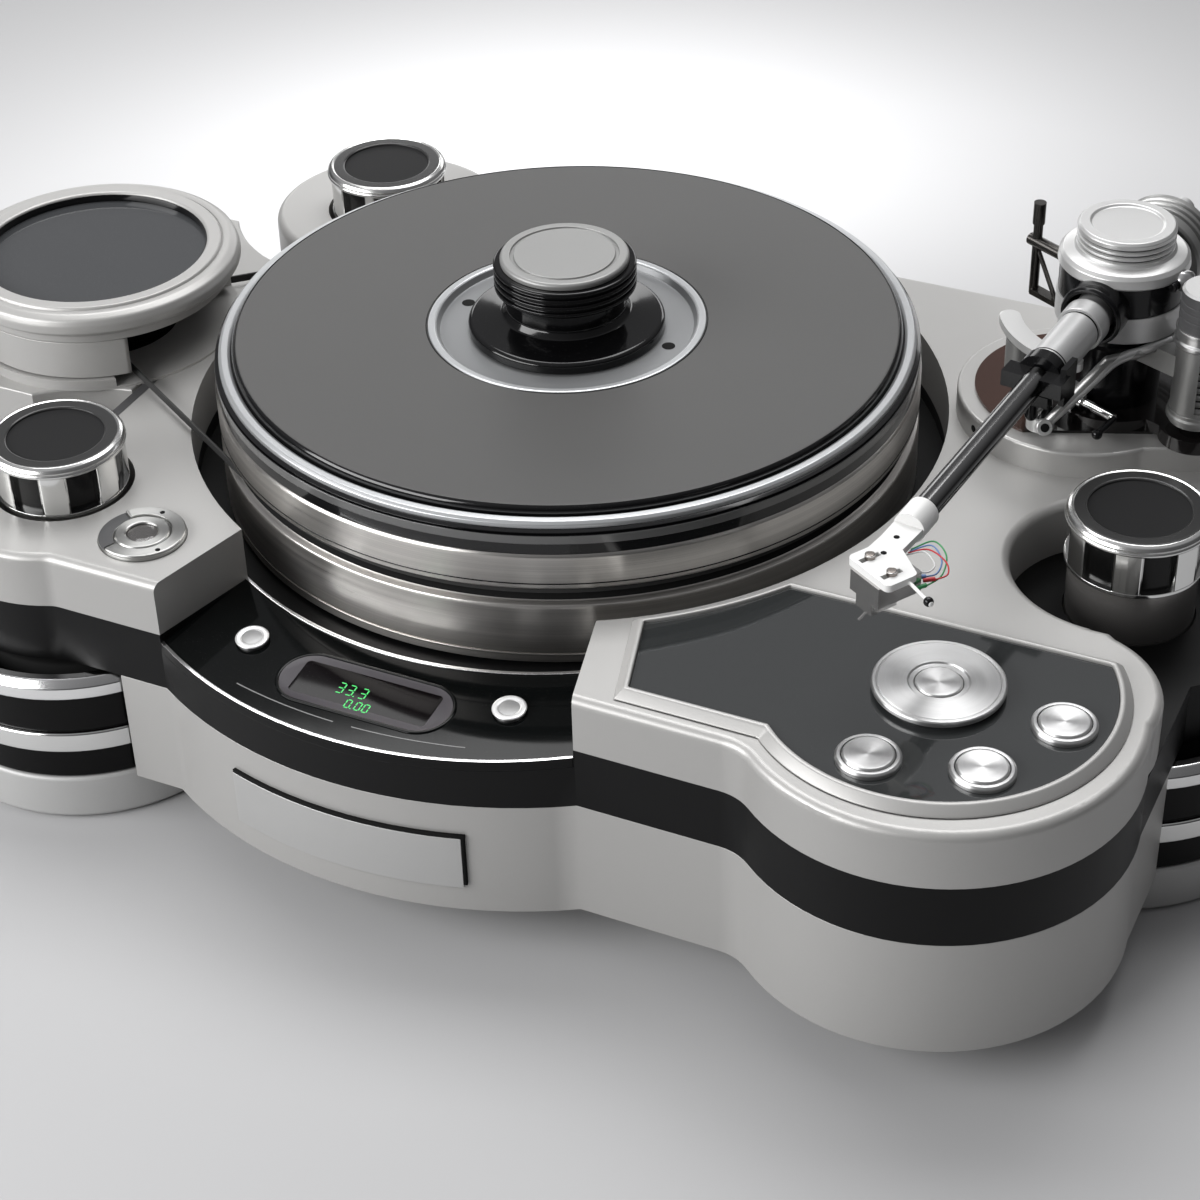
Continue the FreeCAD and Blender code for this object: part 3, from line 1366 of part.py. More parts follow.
def arm_axis(distance):
    """A point along the arm's line in plan, measured from its pivot."""
    return d.arm_x + distance * cosine(d.arm_angle), d.arm_y + distance * sine(d.arm_angle)


def link_bearing():
    """The direction, in degrees, from the arm's pivot to the height adjuster."""
    across, along = (d.pillar_y - d.arm_y).number, (d.pillar_x - d.arm_x).number
    return math.degrees(math.atan2(across, along)), math.hypot(across, along)


def make_arm_base(inlay):
    """The dark inlay and base plate, with the fixed rod of the height adjuster and the cue lever's block."""
    low = board_top + d.inlay_height
    bearing, distance = link_bearing()
    parts = [cylinder("arm_base_disc", d.arm_base_radius, d.arm_base_height, d.arm_x, d.arm_y, low),
             cylinder("pillar_foot", d.pillar_foot_radius, d.arm_base_height, d.pillar_x, d.pillar_y, low),
             turned_box("arm_base_link", distance, d.pillar_radius * 2, d.arm_base_height, d.arm_x, d.arm_y,
                        low, bearing),
             cylinder("height_rod", d.pillar_bore_radius, arm_post_top - low, d.pillar_x, d.pillar_y, low),
             turned_box("lever_block", d.lever_block * 0.7, d.lever_block, d.lever_height - low + 5,
                        d.lever_x - d.lever_block * 0.7 * cosine(d.lever_angle),
                        d.lever_y - d.lever_block * 0.7 * sine(d.lever_angle), low, d.lever_angle)]
    guide = cylinder("arm_post_guide", d.arm_post_radius + d.arm_running_gap, TALL, d.arm_x, d.arm_y, low + 1.5)
    bore = lever_rod("lever_bore", d.lever_bar_radius + d.arm_running_gap, -d.lever_block, d.lever_block * 2)
    base = cut("arm_base_plate", fuse("arm_base_all", *parts), guide, bore)
    node("arm_base", group("arm_base", [inlay, base]))


def lever_rod(name, radius, start, length):
    """A round length on the cue lever's own line."""
    start = Size.of(start)
    x = d.lever_x + start * cosine(d.lever_angle)
    y = d.lever_y + start * sine(d.lever_angle)
    return level_rod(name, radius, length, x, y, d.lever_height, d.lever_angle)


def level_rod(name, radius, length, x, y, z, angle):
    """A round bar lying level, from a point towards an angle in plan."""
    item = cylinder(name, radius, length, x, y, z)
    turn = FreeCAD.Rotation(FreeCAD.Vector(0, 0, 1), Size.of(angle).number)
    item.Placement.Rotation = turn * FreeCAD.Rotation(FreeCAD.Vector(0, 1, 0), 90)
    return item


def make_arm_post():
    """The post that the height adjuster raises, with its bridge and the fixed arm furniture."""
    low = board_top + d.inlay_height + 1.5 + d.arm_height_travel + d.arm_face_gap
    bearing, distance = link_bearing()
    sleeve_low = board_top + d.inlay_height + d.arm_base_height + d.arm_height_travel + d.arm_face_gap
    bridge_low = arm_post_top - d.arm_bridge_height - 2
    knob_low = pillar_top - d.pillar_knob_height
    lift_x = d.arm_x + d.lift_reach * cosine(d.lift_angle)
    lift_y = d.arm_y + d.lift_reach * sine(d.lift_angle)
    housing_top = lift_rest - d.lift_thickness - d.arm_face_gap
    housing_low = housing_top - d.lift_housing_height
    parts = [turned("arm_post_drum", [
                 (0, low), (d.arm_post_radius, low), (d.arm_post_radius, arm_post_shoulder),
                 (d.hub_radius - 2, arm_post_shoulder + 5), (d.hub_radius - 2, arm_post_top),
                 (d.pivot_pin_radius, arm_post_top), (d.pivot_pin_radius, arm_post_top + d.hub_floor),
                 (0, arm_post_top + d.hub_floor)], d.arm_x, d.arm_y),
             turned_box("arm_bridge", distance, d.arm_bridge_width, d.arm_bridge_height, d.arm_x, d.arm_y,
                        bridge_low, bearing),
             cylinder("height_sleeve", d.pillar_radius, knob_low - sleeve_low, d.pillar_x, d.pillar_y,
                      sleeve_low),
             turned_box("lift_shelf", d.lift_reach, d.lift_half_width * 2, 6, d.arm_x, d.arm_y,
                        housing_low + 3, d.lift_angle),
             cylinder("lift_housing", d.lift_housing_radius, d.lift_housing_height, lift_x, lift_y, housing_low)]
    bore = cylinder("height_bore", d.pillar_bore_radius + d.arm_running_gap,
                    arm_post_top + d.arm_height_travel + 2 - sleeve_low, d.pillar_x, d.pillar_y, sleeve_low)
    lift_bore = cylinder("lift_bore", d.lift_rod_radius + d.arm_running_gap, TALL, lift_x, lift_y,
                         housing_low + 2)
    slot_turn = 285
    slot_reach = d.pillar_radius - 1
    slot = turned_box("scale_slot", 4, d.pillar_slot_width, (knob_low - sleeve_low) * 0.6,
                      d.pillar_x + slot_reach * cosine(slot_turn), d.pillar_y + slot_reach * sine(slot_turn),
                      sleeve_low + d.pillar_slot_rise, slot_turn)
    parts += make_guard_rod()
    post = cut("arm_post_body", fuse("arm_post_all", *parts), bore, lift_bore, slot)
    radius = d.pillar_radius
    knob = turned("height_knob", [
        (0, knob_low), (radius, knob_low), (radius, knob_low + 4), (radius - d.pillar_groove, knob_low + 4),
        (radius - d.pillar_groove, knob_low + 5.5), (radius, knob_low + 5.5), (radius, pillar_top - 1),
        (radius - 1, pillar_top), (0, pillar_top)], d.pillar_x, d.pillar_y)
    node("arm_post", group("arm_post", [post, knob]))


def make_cue_lift():
    """The curved platform under the arm, on its rod, and the lever that raises it."""
    low = lift_rest - d.lift_thickness
    inner, outer = d.lift_reach - d.lift_half_width, d.lift_reach + d.lift_half_width
    ring = cut("lift_ring", cylinder("lift_outer", outer, d.lift_thickness, d.arm_x, d.arm_y, low),
               cylinder("lift_inner", inner, d.lift_thickness, d.arm_x, d.arm_y, low))
    sector = padded("lift_sector", [(d.arm_x, d.arm_y)] + [
        (d.arm_x + 2 * d.lift_reach * cosine(angle), d.arm_y + 2 * d.lift_reach * sine(angle))
        for angle in (d.lift_start, (d.lift_start + d.lift_end) / 2, d.lift_end)], d.lift_thickness, low)
    ends = [cylinder(f"lift_end_{index}", d.lift_half_width, d.lift_thickness,
                     d.arm_x + d.lift_reach * cosine(angle), d.arm_y + d.lift_reach * sine(angle), low)
            for index, angle in enumerate((d.lift_start, d.lift_end))]
    rod = cylinder("lift_rod", d.lift_rod_radius, d.lift_housing_height - 2, d.arm_x + d.lift_reach * cosine(
        d.lift_angle), d.arm_y + d.lift_reach * sine(d.lift_angle), low - d.lift_housing_height + 2)
    node("cue_platform", fuse("cue_platform", meet("lift_arc", ring, sector), *ends, rod))
    bar = lever_rod("lever_bar", d.lever_bar_radius, -d.lever_block * 0.7 + 1, d.lever_bar_length + 5)
    collar = lever_rod("lever_collar", d.lever_bar_radius + 1.5, d.arm_face_gap, 3)
    tip = FreeCAD.Vector((d.lever_x + d.lever_bar_length * cosine(d.lever_angle)).number,
                         (d.lever_y + d.lever_bar_length * sine(d.lever_angle)).number, d.lever_height.number)
    hang = FreeCAD.Vector(-math.sin(math.radians(25)), -math.cos(math.radians(25)), -0.35)
    hang.normalize()
    end = tip + hang * d.lever_handle_length.number
    handle = rod_between("lever_handle", tip, end, d.lever_handle_radius)
    knob = document.addObject("Part::Sphere", "lever_knob")
    bind(knob, "Radius", d.lever_knob_radius)
    knob.Placement.Base = end
    node("cue_lever", fuse("cue_lever", bar, collar, handle, knob))


def make_arm_rest():
    """The nut, the short post and the cradle that the parked arm lies over."""
    x, y = arm_axis(d.rest_distance)
    low = board_top + d.inlay_height + d.arm_height_travel + d.arm_face_gap
    line = d.arm_line_height - d.rest_distance * sine(d.arm_slope)
    cradle_low = line - d.arm_tab_height / 2 - d.rest_gap - d.rest_cradle_height
    elbow_height = low + (cradle_low - low) * d.rest_elbow_share
    under_collar = line - d.arm_collar_radius - d.rest_lean_gap
    elbow = FreeCAD.Vector(d.rest_x.number, d.rest_y.number, elbow_height.number)
    knee = FreeCAD.Vector(x.number, y.number, under_collar.number)
    nut = cylinder("rest_nut", d.rest_nut_radius, d.rest_nut_height, d.rest_x, d.rest_y, low)
    post = cylinder("rest_post", d.rest_post_radius, elbow_height - low, d.rest_x, d.rest_y, low)
    lean = rod_between("rest_lean", elbow, knee, d.rest_post_radius * 0.6)
    riser = cylinder("rest_riser", d.rest_cradle_length / 2, cradle_low + 1 - under_collar, x, y, under_collar)
    bend = document.addObject("Part::Sphere", "rest_bend")
    bind(bend, "Radius", d.rest_post_radius * 0.6)
    bend.Placement.Base = knee
    joint = document.addObject("Part::Sphere", "rest_joint")
    bind(joint, "Radius", d.rest_post_radius)
    joint.Placement.Base = elbow
    start_x, start_y = arm_axis(d.rest_distance - d.rest_cradle_length / 2)
    cradle = turned_box("rest_cradle", d.rest_cradle_length, d.rest_cradle_width, d.rest_cradle_height,
                        start_x, start_y, cradle_low, d.arm_angle)
    node("arm_rest", cut("arm_rest", fuse("arm_rest_all", nut, post, lean, bend, riser, joint, cradle), *make_guard_rod()))


def make_guard_rod():
    """The bent rod that carries the arm rest from the lifted post."""
    end_x, end_y = d.rest_x.number, d.rest_y.number
    x, y = d.arm_x.number, d.arm_y.number
    high = (arm_post_top - d.rod_drop).number
    low = (board_top + d.rod_end_rise).number
    reach = d.rod_reach.number
    points = [FreeCAD.Vector(x + reach * 0.94, y - reach * 0.35, high + 1.5),
              FreeCAD.Vector(x + reach * 0.57, y - reach * 0.92, high + 1),
              FreeCAD.Vector(x + reach * 0.18, y - reach * 1.14, high - 1.5),
              FreeCAD.Vector(end_x + 3, end_y - 4, low)]
    names = f"guard_{len(document.Objects)}"
    parts = [rod_between(f"{names}_rod_{index}", points[index], points[index + 1], d.rod_radius)
             for index in range(3)]
    for index, point in enumerate(points[1:]):
        ball = document.addObject("Part::Sphere", f"{names}_bend_{index}")
        bind(ball, "Radius", d.rod_radius)
        ball.Placement.Base = point
        parts.append(ball)
    return parts


def rod_between(name, start, end, radius):
    """A plain rod from one point to another."""
    item = document.addObject("Part::Cylinder", name)
    along = end - start
    bind(item, "Radius", Size.of(radius))
    item.Height = along.Length
    item.Placement = FreeCAD.Placement(start, FreeCAD.Rotation(FreeCAD.Vector(0, 0, 1), along))
    return item


def arm_line():
    """The arm's own direction, sloping down towards the stylus."""
    heading, slope = math.radians(d.arm_angle.number), math.radians(d.arm_slope.number)
    return FreeCAD.Vector(math.cos(heading) * math.cos(slope), math.sin(heading) * math.cos(slope),
                          -math.sin(slope))


def put_on_arm(item, start):
    """Move a piece built about +Z onto the arm's line, at a distance out from the pivot."""
    start = Size.of(start)
    reach = start * cosine(d.arm_slope)
    item.Placement = FreeCAD.Placement(FreeCAD.Vector(), FreeCAD.Rotation(FreeCAD.Vector(0, 0, 1), arm_line()))
    for letter, value in zip("xyz", (*arm_axis(reach), d.arm_line_height - start * sine(d.arm_slope))):
        item.setExpression(f"Placement.Base.{letter}", value.formula)
    return item


def along_arm(name, radius, start, length):
    """A round length on the arm's sloping line, from a distance out from the pivot."""
    item = document.addObject("Part::Cylinder", name)
    bind(item, "Radius", Size.of(radius))
    bind(item, "Height", Size.of(length))
    return put_on_arm(item, start)


def tilt_pin(name, radius, half_length):
    """A level bar through the pivot, across the arm."""
    half = Size.of(half_length)
    across = d.arm_angle - 90
    return level_rod(name, radius, half * 2, d.arm_x - half * cosine(across), d.arm_y - half * sine(across),
                     d.arm_line_height, across)


def make_arm_hub():
    """The turning hub: a bright ring, a black drum with the arm's boss, and the grooved cap."""
    low = arm_post_top + d.arm_face_gap
    boss = along_arm("boss_outer", d.hub_boss_radius, d.hub_inner_radius, d.hub_boss_reach - d.hub_inner_radius)
    bore = along_arm("boss_bore", d.hub_boss_bore, 5, d.hub_boss_reach)
    rear = turned_box("hub_rear_slot", d.hub_radius + 4, d.hub_rear_half * 2, d.hub_rear_half * 2 + 2,
                      d.arm_x, d.arm_y, d.arm_line_height - d.hub_rear_half, d.arm_angle + 180)
    bearing_bore = d.pivot_pin_radius + d.arm_running_gap
    ring = turned("hub_ring_blank", [
        (bearing_bore, low), (d.hub_radius - 1, low), (d.hub_radius, low + 1), (d.hub_radius, hub_ring_top),
        (d.hub_inner_radius, hub_ring_top), (d.hub_inner_radius, low + d.hub_floor),
        (bearing_bore, low + d.hub_floor)], d.arm_x, d.arm_y)
    ring = cut("hub_ring", ring, along_arm("boss_seat", d.hub_boss_radius, 10, 40), rear)
    drum = turned("hub_drum", [
        (d.hub_inner_radius, hub_ring_top), (d.hub_radius - 0.6, hub_ring_top),
        (d.hub_radius - 0.6, hub_drum_top), (d.hub_inner_radius, hub_drum_top)], d.arm_x, d.arm_y)
    ceiling = box("boss_ceiling", -FAR, FAR, -FAR, FAR, low, hub_drum_top)
    shell = fuse("hub_drum_all", drum, meet("boss_part", boss, ceiling))
    pin_bore = tilt_pin("tilt_bore", d.tilt_pin_radius + d.arm_running_gap, d.hub_radius - 2)
    node("arm_hub", cut("arm_hub", shell, bore, rear, pin_bore))
    cap_low = hub_drum_top
    collar_top = cap_low + d.hub_collar_height
    top = collar_top + d.hub_grip_height
    step = d.hub_grip_height / 4
    profile = [(0, cap_low), (d.hub_radius, cap_low), (d.hub_radius + 0.6, cap_low + 1),
               (d.hub_radius, collar_top - 1.5), (d.hub_grip_radius + 1, collar_top)]
    for index in (0, 1, 2):
        z = collar_top + step * (index + 0.4)
        profile += [(d.hub_grip_radius, z), (d.hub_grip_radius - d.hub_grip_groove, z + step * 0.2),
                    (d.hub_grip_radius - d.hub_grip_groove, z + step * 0.4), (d.hub_grip_radius, z + step * 0.6)]
    profile += [(d.hub_grip_radius, top - 1), (d.hub_grip_radius - 1, top), (d.hub_top_radius + 1, top),
                (d.hub_top_radius, top - 0.8), (0, top - 0.8)]
    node("hub_rings", group("hub_rings", [ring, turned("hub_cap", profile, d.arm_x, d.arm_y)]))


def make_arm_tube():
    """The tilting arm: its cross pin and core, bright sleeve, black collar and slim tube."""
    core = along_arm("core_body", d.sleeve_radius, -d.hub_inner_radius * 0.75, d.hub_inner_radius * 1.4)
    stub = along_arm("core_stub", d.stub_radius, -d.stub_end, d.stub_end)
    pin = tilt_pin("tilt_pin", d.tilt_pin_radius, d.hub_radius - 3)
    start = d.hub_inner_radius * 0.65
    ring_start, ring_end = d.sleeve_ring_start - start, d.sleeve_ring_start + d.sleeve_ring_length - start
    sleeve = turned("arm_sleeve", [
        (0, 0), (d.sleeve_radius, 0), (d.sleeve_radius, ring_start), (d.sleeve_ring_radius, ring_start),
        (d.sleeve_ring_radius, ring_end), (d.sleeve_radius, ring_end), (d.sleeve_radius, d.sleeve_end - start - 1),
        (d.sleeve_radius - 1, d.sleeve_end - start), (0, d.sleeve_end - start)])
    node("arm_sleeve", fuse("arm_sleeve", core, stub, pin, put_on_arm(sleeve, start)))
    collar = along_arm("collar_round", d.arm_collar_radius, d.sleeve_end, d.arm_collar_length)
    tab_x, tab_y = arm_axis(d.sleeve_end + d.arm_collar_length - 1)
    tab_line = d.arm_line_height - (d.sleeve_end + d.arm_collar_length) * sine(d.arm_slope)
    tab = turned_box("collar_tab", d.arm_tab_length, d.arm_tab_width, d.arm_tab_height, tab_x, tab_y,
                     tab_line - d.arm_tab_height / 2, d.arm_angle)
    fin_x, fin_y = on_arm_plan(d.sleeve_end - 4, d.arm_collar_radius + d.arm_fin_width / 2)
    fin = turned_box("collar_fin", d.arm_fin_length, d.arm_fin_width, d.arm_fin_height, fin_x, fin_y,
                     tab_line - d.arm_fin_height * 0.6, d.arm_angle)
    node("arm_collar", fuse("arm_collar", collar, tab, fin))
    tube_start = d.sleeve_end + d.arm_collar_length + d.arm_tab_length - 1
    node("arm_tube", cut("arm_tube", along_arm("tube_body", d.tube_radius, tube_start, d.tube_end - tube_start),
                         turned_box("tube_trim", d.arm_tab_length, d.arm_tab_width, d.arm_tab_width, tab_x,
                                    tab_y, tab_line - d.arm_tab_width / 2, d.arm_angle)))


def head_point(forward, sideways):
    """A point of the turned headshell, as (along, across) the arm."""
    forward, sideways = Size.of(forward), Size.of(sideways)
    run, rise = cosine(d.shell_turn), sine(d.shell_turn)
    return forward * run - sideways * rise, forward * rise + sideways * run


def on_arm_plan(along, across):
    """A point in the object's frame from a distance along the arm and across it."""
    along, across = Size.of(along), Size.of(across)
    return (d.arm_x + along * cosine(d.arm_angle) - across * sine(d.arm_angle),
            d.arm_y + along * sine(d.arm_angle) + across * cosine(d.arm_angle))


def head_box(name, front, length, middle, width, z_low, z_high):
    """A block square to the headshell: its front face at a distance forward, centred across."""
    x, y = on_arm_plan(*head_point(front - length, middle))
    return turned_box(name, length, width, z_high - z_low, x, y, z_low, d.arm_angle + d.shell_turn)


def make_headshell():
    """The pale headshell on its socket, with two slots, and the finger lift at its side."""
    low, thickness = shell_height, d.shell_thickness
    inner, outer = d.shell_side, d.shell_side + d.shell_width
    outline = [(d.shell_start + 4, -d.shell_neck_half), (d.shell_front - 2, -d.shell_neck_half)]
    outline += [head_point(d.shell_rear + 4, inner), head_point(d.shell_front, inner),
                head_point(d.shell_front, outer), head_point(d.shell_rear, outer)]
    outline += [(d.shell_front + 2, d.shell_neck_half - 1), (d.shell_start + 4, d.shell_neck_half)]
    plate = padded("shell_plate", outline, thickness)
    plate = place(plate, d.arm_x, d.arm_y, low, FreeCAD.Vector(0, 0, 1), d.arm_angle)
    front = [on_arm_plan(*head_point(d.shell_front, side)) for side in (inner, outer)]
    front.append(on_arm_plan(*head_point(d.shell_rear, outer)))
    tests = [upright(x, y, 1.0) for x, y in front]
    plate = fillet("shell_soft", plate, d.shell_round,
                   lambda middle, ends: any(test(middle, ends) for test in tests))
    socket = along_arm("shell_socket", d.shell_root_radius, d.shell_start, d.shell_root_length)
    tube_hole = along_arm("shell_tube_hole", d.tube_radius, d.shell_start, d.tube_end - d.shell_start)
    middle = (inner + outer) / 2
    slots = []
    for side in (-1, 1):
        slots.append(head_box(f"shell_slot_{side + 1}", d.slot_middle + d.slot_length / 2, d.slot_length,
                              middle + side * d.slot_spacing / 2, d.slot_width, low - 1, low + thickness + 1))
    lift_x, lift_y = on_arm_plan(*head_point(d.slot_middle - 4, outer - 1))
    lift = level_rod("finger_lift", d.finger_lift_radius, d.finger_lift_length, lift_x, lift_y,
                     low + 0.8, d.arm_angle + d.shell_turn + 82)
    knob = document.addObject("Part::Sphere", "finger_knob")
    bind(knob, "Radius", d.finger_lift_radius * 2)
    heading = math.radians((d.arm_angle + d.shell_turn).number + 82)
    knob.Placement.Base = FreeCAD.Vector(lift_x.number + d.finger_lift_length.number * math.cos(heading),
                                         lift_y.number + d.finger_lift_length.number * math.sin(heading),
                                         low.number + 0.8)
    node("headshell", cut("headshell", fuse("shell_all", plate, socket, lift, knob), tube_hole, *slots))
    screws = []
    for side in (-1, 1):
        x, y = on_arm_plan(*head_point(d.slot_middle, middle + side * d.slot_spacing / 2))
        screws.append(cylinder(f"shell_screw_{side + 1}", 2, 1.6, x, y, low + thickness))
    return screws


def make_cartridge(screws):
    """The cartridge under the shell, with a narrower nose, and the stylus on its cantilever."""
    top = shell_height
    body_end = top - d.cartridge_height
    middle = d.shell_side + d.shell_width / 2
    front = d.shell_front + 1
    body = head_box("cartridge_body", front, d.cartridge_length, middle, d.cartridge_width, body_end, top)
    nose = head_box("cartridge_nose", front, d.cartridge_length * 0.6, middle, d.cartridge_nose_width,
                    body_end - d.cartridge_nose_height, body_end + 1)
    tip_x, tip_y = on_arm_plan(*head_point(d.slot_middle + d.stylus_forward, middle))
    root_x, root_y = on_arm_plan(*head_point(front - 3, middle))
    tip = FreeCAD.Vector(tip_x.number, tip_y.number, stylus_height.number)
    root_point = FreeCAD.Vector(root_x.number, root_y.number,
                                (body_end - d.cartridge_nose_height).number - 0.3)
    holder = head_box("stylus_holder", front - 1, 6, middle, 5, body_end - d.cartridge_nose_height - 1.2,
                      body_end - d.cartridge_nose_height)
    needle = rod_between("cantilever", root_point, tip, d.stylus_radius)
    node("cartridge", group("cartridge", [fuse("cartridge_body_all", body, nose, holder, needle), *screws]))


def make_counterweight():
    """The grooved counterweight on the arm's rear stub."""
    length, radius = d.weight_length, d.weight_radius
    start = Size.of(0) - d.weight_position - length
    step = length / 5
    profile = [(0, 0), (radius - 1, 0), (radius, 1)]
    for index in (1, 2, 3):
        z = step * index
        profile += [(radius, z), (radius - d.weight_groove, z + 0.6), (radius - d.weight_groove, z + 1.6),
                    (radius, z + 2.2)]
    profile += [(radius, length - 1), (radius - 1, length), (0, length)]
    disc = put_on_arm(turned("counterweight_disc", profile), start)
    height = d.arm_line_height - start * sine(d.arm_slope) - d.weight_drop
    disc.setExpression("Placement.Base.z", height.formula)
    bore = along_arm("weight_bore", d.stub_radius + d.arm_running_gap, start - 2, length + 4)
    node("counterweight", cut("counterweight", disc, bore))


def make_anti_skate():
    """The light frame beside the hub, standing on the lifted post, with its black screws."""
    x = d.arm_x + d.skate_distance * cosine(d.skate_angle)
    y = d.arm_y + d.skate_distance * sine(d.skate_angle)
    bar = d.skate_bar
    foot_height = skate_low
    reach = d.skate_distance
    foot = turned_box("skate_foot", reach, bar * 2, bar, d.arm_x, d.arm_y, foot_height, d.skate_angle)
    upright_bar = cylinder("skate_upright", bar * 0.8, skate_high - foot_height, x, y, foot_height)
    near = 0.72
    mid_x = d.arm_x + d.skate_distance * near * cosine(d.skate_angle)
    mid_y = d.arm_y + d.skate_distance * near * sine(d.skate_angle)
    top = FreeCAD.Vector(x.number, y.number, (skate_high - d.skate_brace_drop).number)
    bottom = FreeCAD.Vector(mid_x.number, mid_y.number, foot_height.number + 1)
    brace = rod_between("skate_brace", bottom, top, bar * 0.4)
    foot = cut("skate_foot_cut", foot, cylinder("skate_foot_seat", d.arm_post_radius, TALL, d.arm_x, d.arm_y,
                                                foot_height - 10))
    screw = cylinder("skate_screw", d.skate_screw_radius, d.skate_screw_length, x, y, skate_high)
    side = level_rod("skate_side_screw", d.skate_screw_radius, d.skate_side_length,
                     x + d.skate_side_start * cosine(d.skate_angle), y + d.skate_side_start * sine(d.skate_angle),
                     skate_high - d.skate_side_drop, d.skate_angle + 180)
    node("anti_skate", fuse("anti_skate", foot, upright_bar, brace, screw, side))


# Build everything and write it out

make_lower_body()
make_middle_band()
make_left_plate()
make_right_plate()
make_towers()
make_display()
make_name_plate()
make_rear()
make_controls()
make_level()
make_platter()
make_clamp()
make_motor_base()
make_motor_cover()
make_drive()
make_arm_base(make_arm_board())
make_arm_post()
make_cue_lift()
make_arm_rest()
make_arm_hub()
make_arm_tube()
make_cartridge(make_headshell())
make_counterweight()
make_anti_skate()


def report_faults():
    """Stop with a list when an object failed, or a sub-part isn't a valid solid."""
    document.recompute()
    faults = [f"{item.Name}: {item.State}" for item in document.Objects
              if "Invalid" in item.State or "Error" in item.State]
    for label, item in NODES.items():
        if item.Shape.isNull() or not item.Shape.isValid() or not item.Shape.Solids:
            faults.append(f"{label}: shape is not a valid solid")
    if faults:
        raise RuntimeError("\n".join(faults))


def middle_of_plan():
    """The middle of the whole part in plan, from the pieces that reach furthest out."""
    left = motor_x - d.cover_rim_radius
    right = d.right_x + d.foot_radius + d.ring_proud
    front = -(d.bulge_radius + d.name_plate_thickness + d.bulge_offset)
    rear = d.rear_bulge_radius + d.rear_bulge_offset
    return FreeCAD.Vector(((left + right) / 2).number, ((front + rear) / 2).number, 0)


def write_parts():
    """Write one file for each sub-part, all about the middle of the plan."""
    middle = middle_of_plan()
    for label, item in NODES.items():
        shape = item.Shape.copy()
        shape.translate(-middle)
        shape.exportStep(f"parts/{label}.step")
        print(f"{label}: {len(shape.Solids)} solids, {shape.Volume / 1000:.1f} cm3")
    print(len(NODES), "sub-parts about", middle)


report_faults()
write_parts()
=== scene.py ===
"""The looks of the record player: turned metal, satin paint, dark glass and a slim tonearm.

Lengths are written in millimetres from the platter's axis, which stands a little to the left of
the model's origin, and turned into metres when a mesh is made.
"""
from __future__ import annotations

import json
import logging
import math
from dataclasses import dataclass, field
from enum import Enum
from typing import Callable, Iterable, Sequence

import bmesh
import bpy
from mathutils import Matrix, Vector

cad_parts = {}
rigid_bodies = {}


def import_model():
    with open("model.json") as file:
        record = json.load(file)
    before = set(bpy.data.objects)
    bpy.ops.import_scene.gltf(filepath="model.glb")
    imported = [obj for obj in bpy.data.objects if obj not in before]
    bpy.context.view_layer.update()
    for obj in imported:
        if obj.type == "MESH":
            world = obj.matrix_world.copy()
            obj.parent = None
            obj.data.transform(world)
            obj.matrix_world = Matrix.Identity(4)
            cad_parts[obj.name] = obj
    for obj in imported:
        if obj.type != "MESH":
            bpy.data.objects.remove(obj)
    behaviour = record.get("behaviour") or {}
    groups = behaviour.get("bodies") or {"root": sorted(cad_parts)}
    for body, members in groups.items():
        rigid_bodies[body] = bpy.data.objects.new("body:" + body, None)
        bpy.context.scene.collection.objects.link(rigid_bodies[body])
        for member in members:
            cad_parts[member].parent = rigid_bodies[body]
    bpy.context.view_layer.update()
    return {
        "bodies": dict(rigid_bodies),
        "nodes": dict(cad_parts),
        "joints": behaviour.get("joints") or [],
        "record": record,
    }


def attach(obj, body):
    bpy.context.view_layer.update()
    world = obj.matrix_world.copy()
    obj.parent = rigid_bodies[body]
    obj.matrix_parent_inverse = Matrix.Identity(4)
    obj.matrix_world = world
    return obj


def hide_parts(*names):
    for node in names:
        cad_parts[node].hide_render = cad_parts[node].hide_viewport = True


log = logging.getLogger("turntable")

PLATTER_AXIS = Vector((-19.4, 9.3, 0.0))
UPRIGHT = Vector((0.0, 0.0, 1.0))
Profile = Sequence[tuple[float, float]]


def place(x: float, y: float, z: float) -> Vector:
    """A point given in millimetres from the platter's axis, in the model's own metres."""
    return (Vector((x, y, z)) + PLATTER_AXIS) / 1000


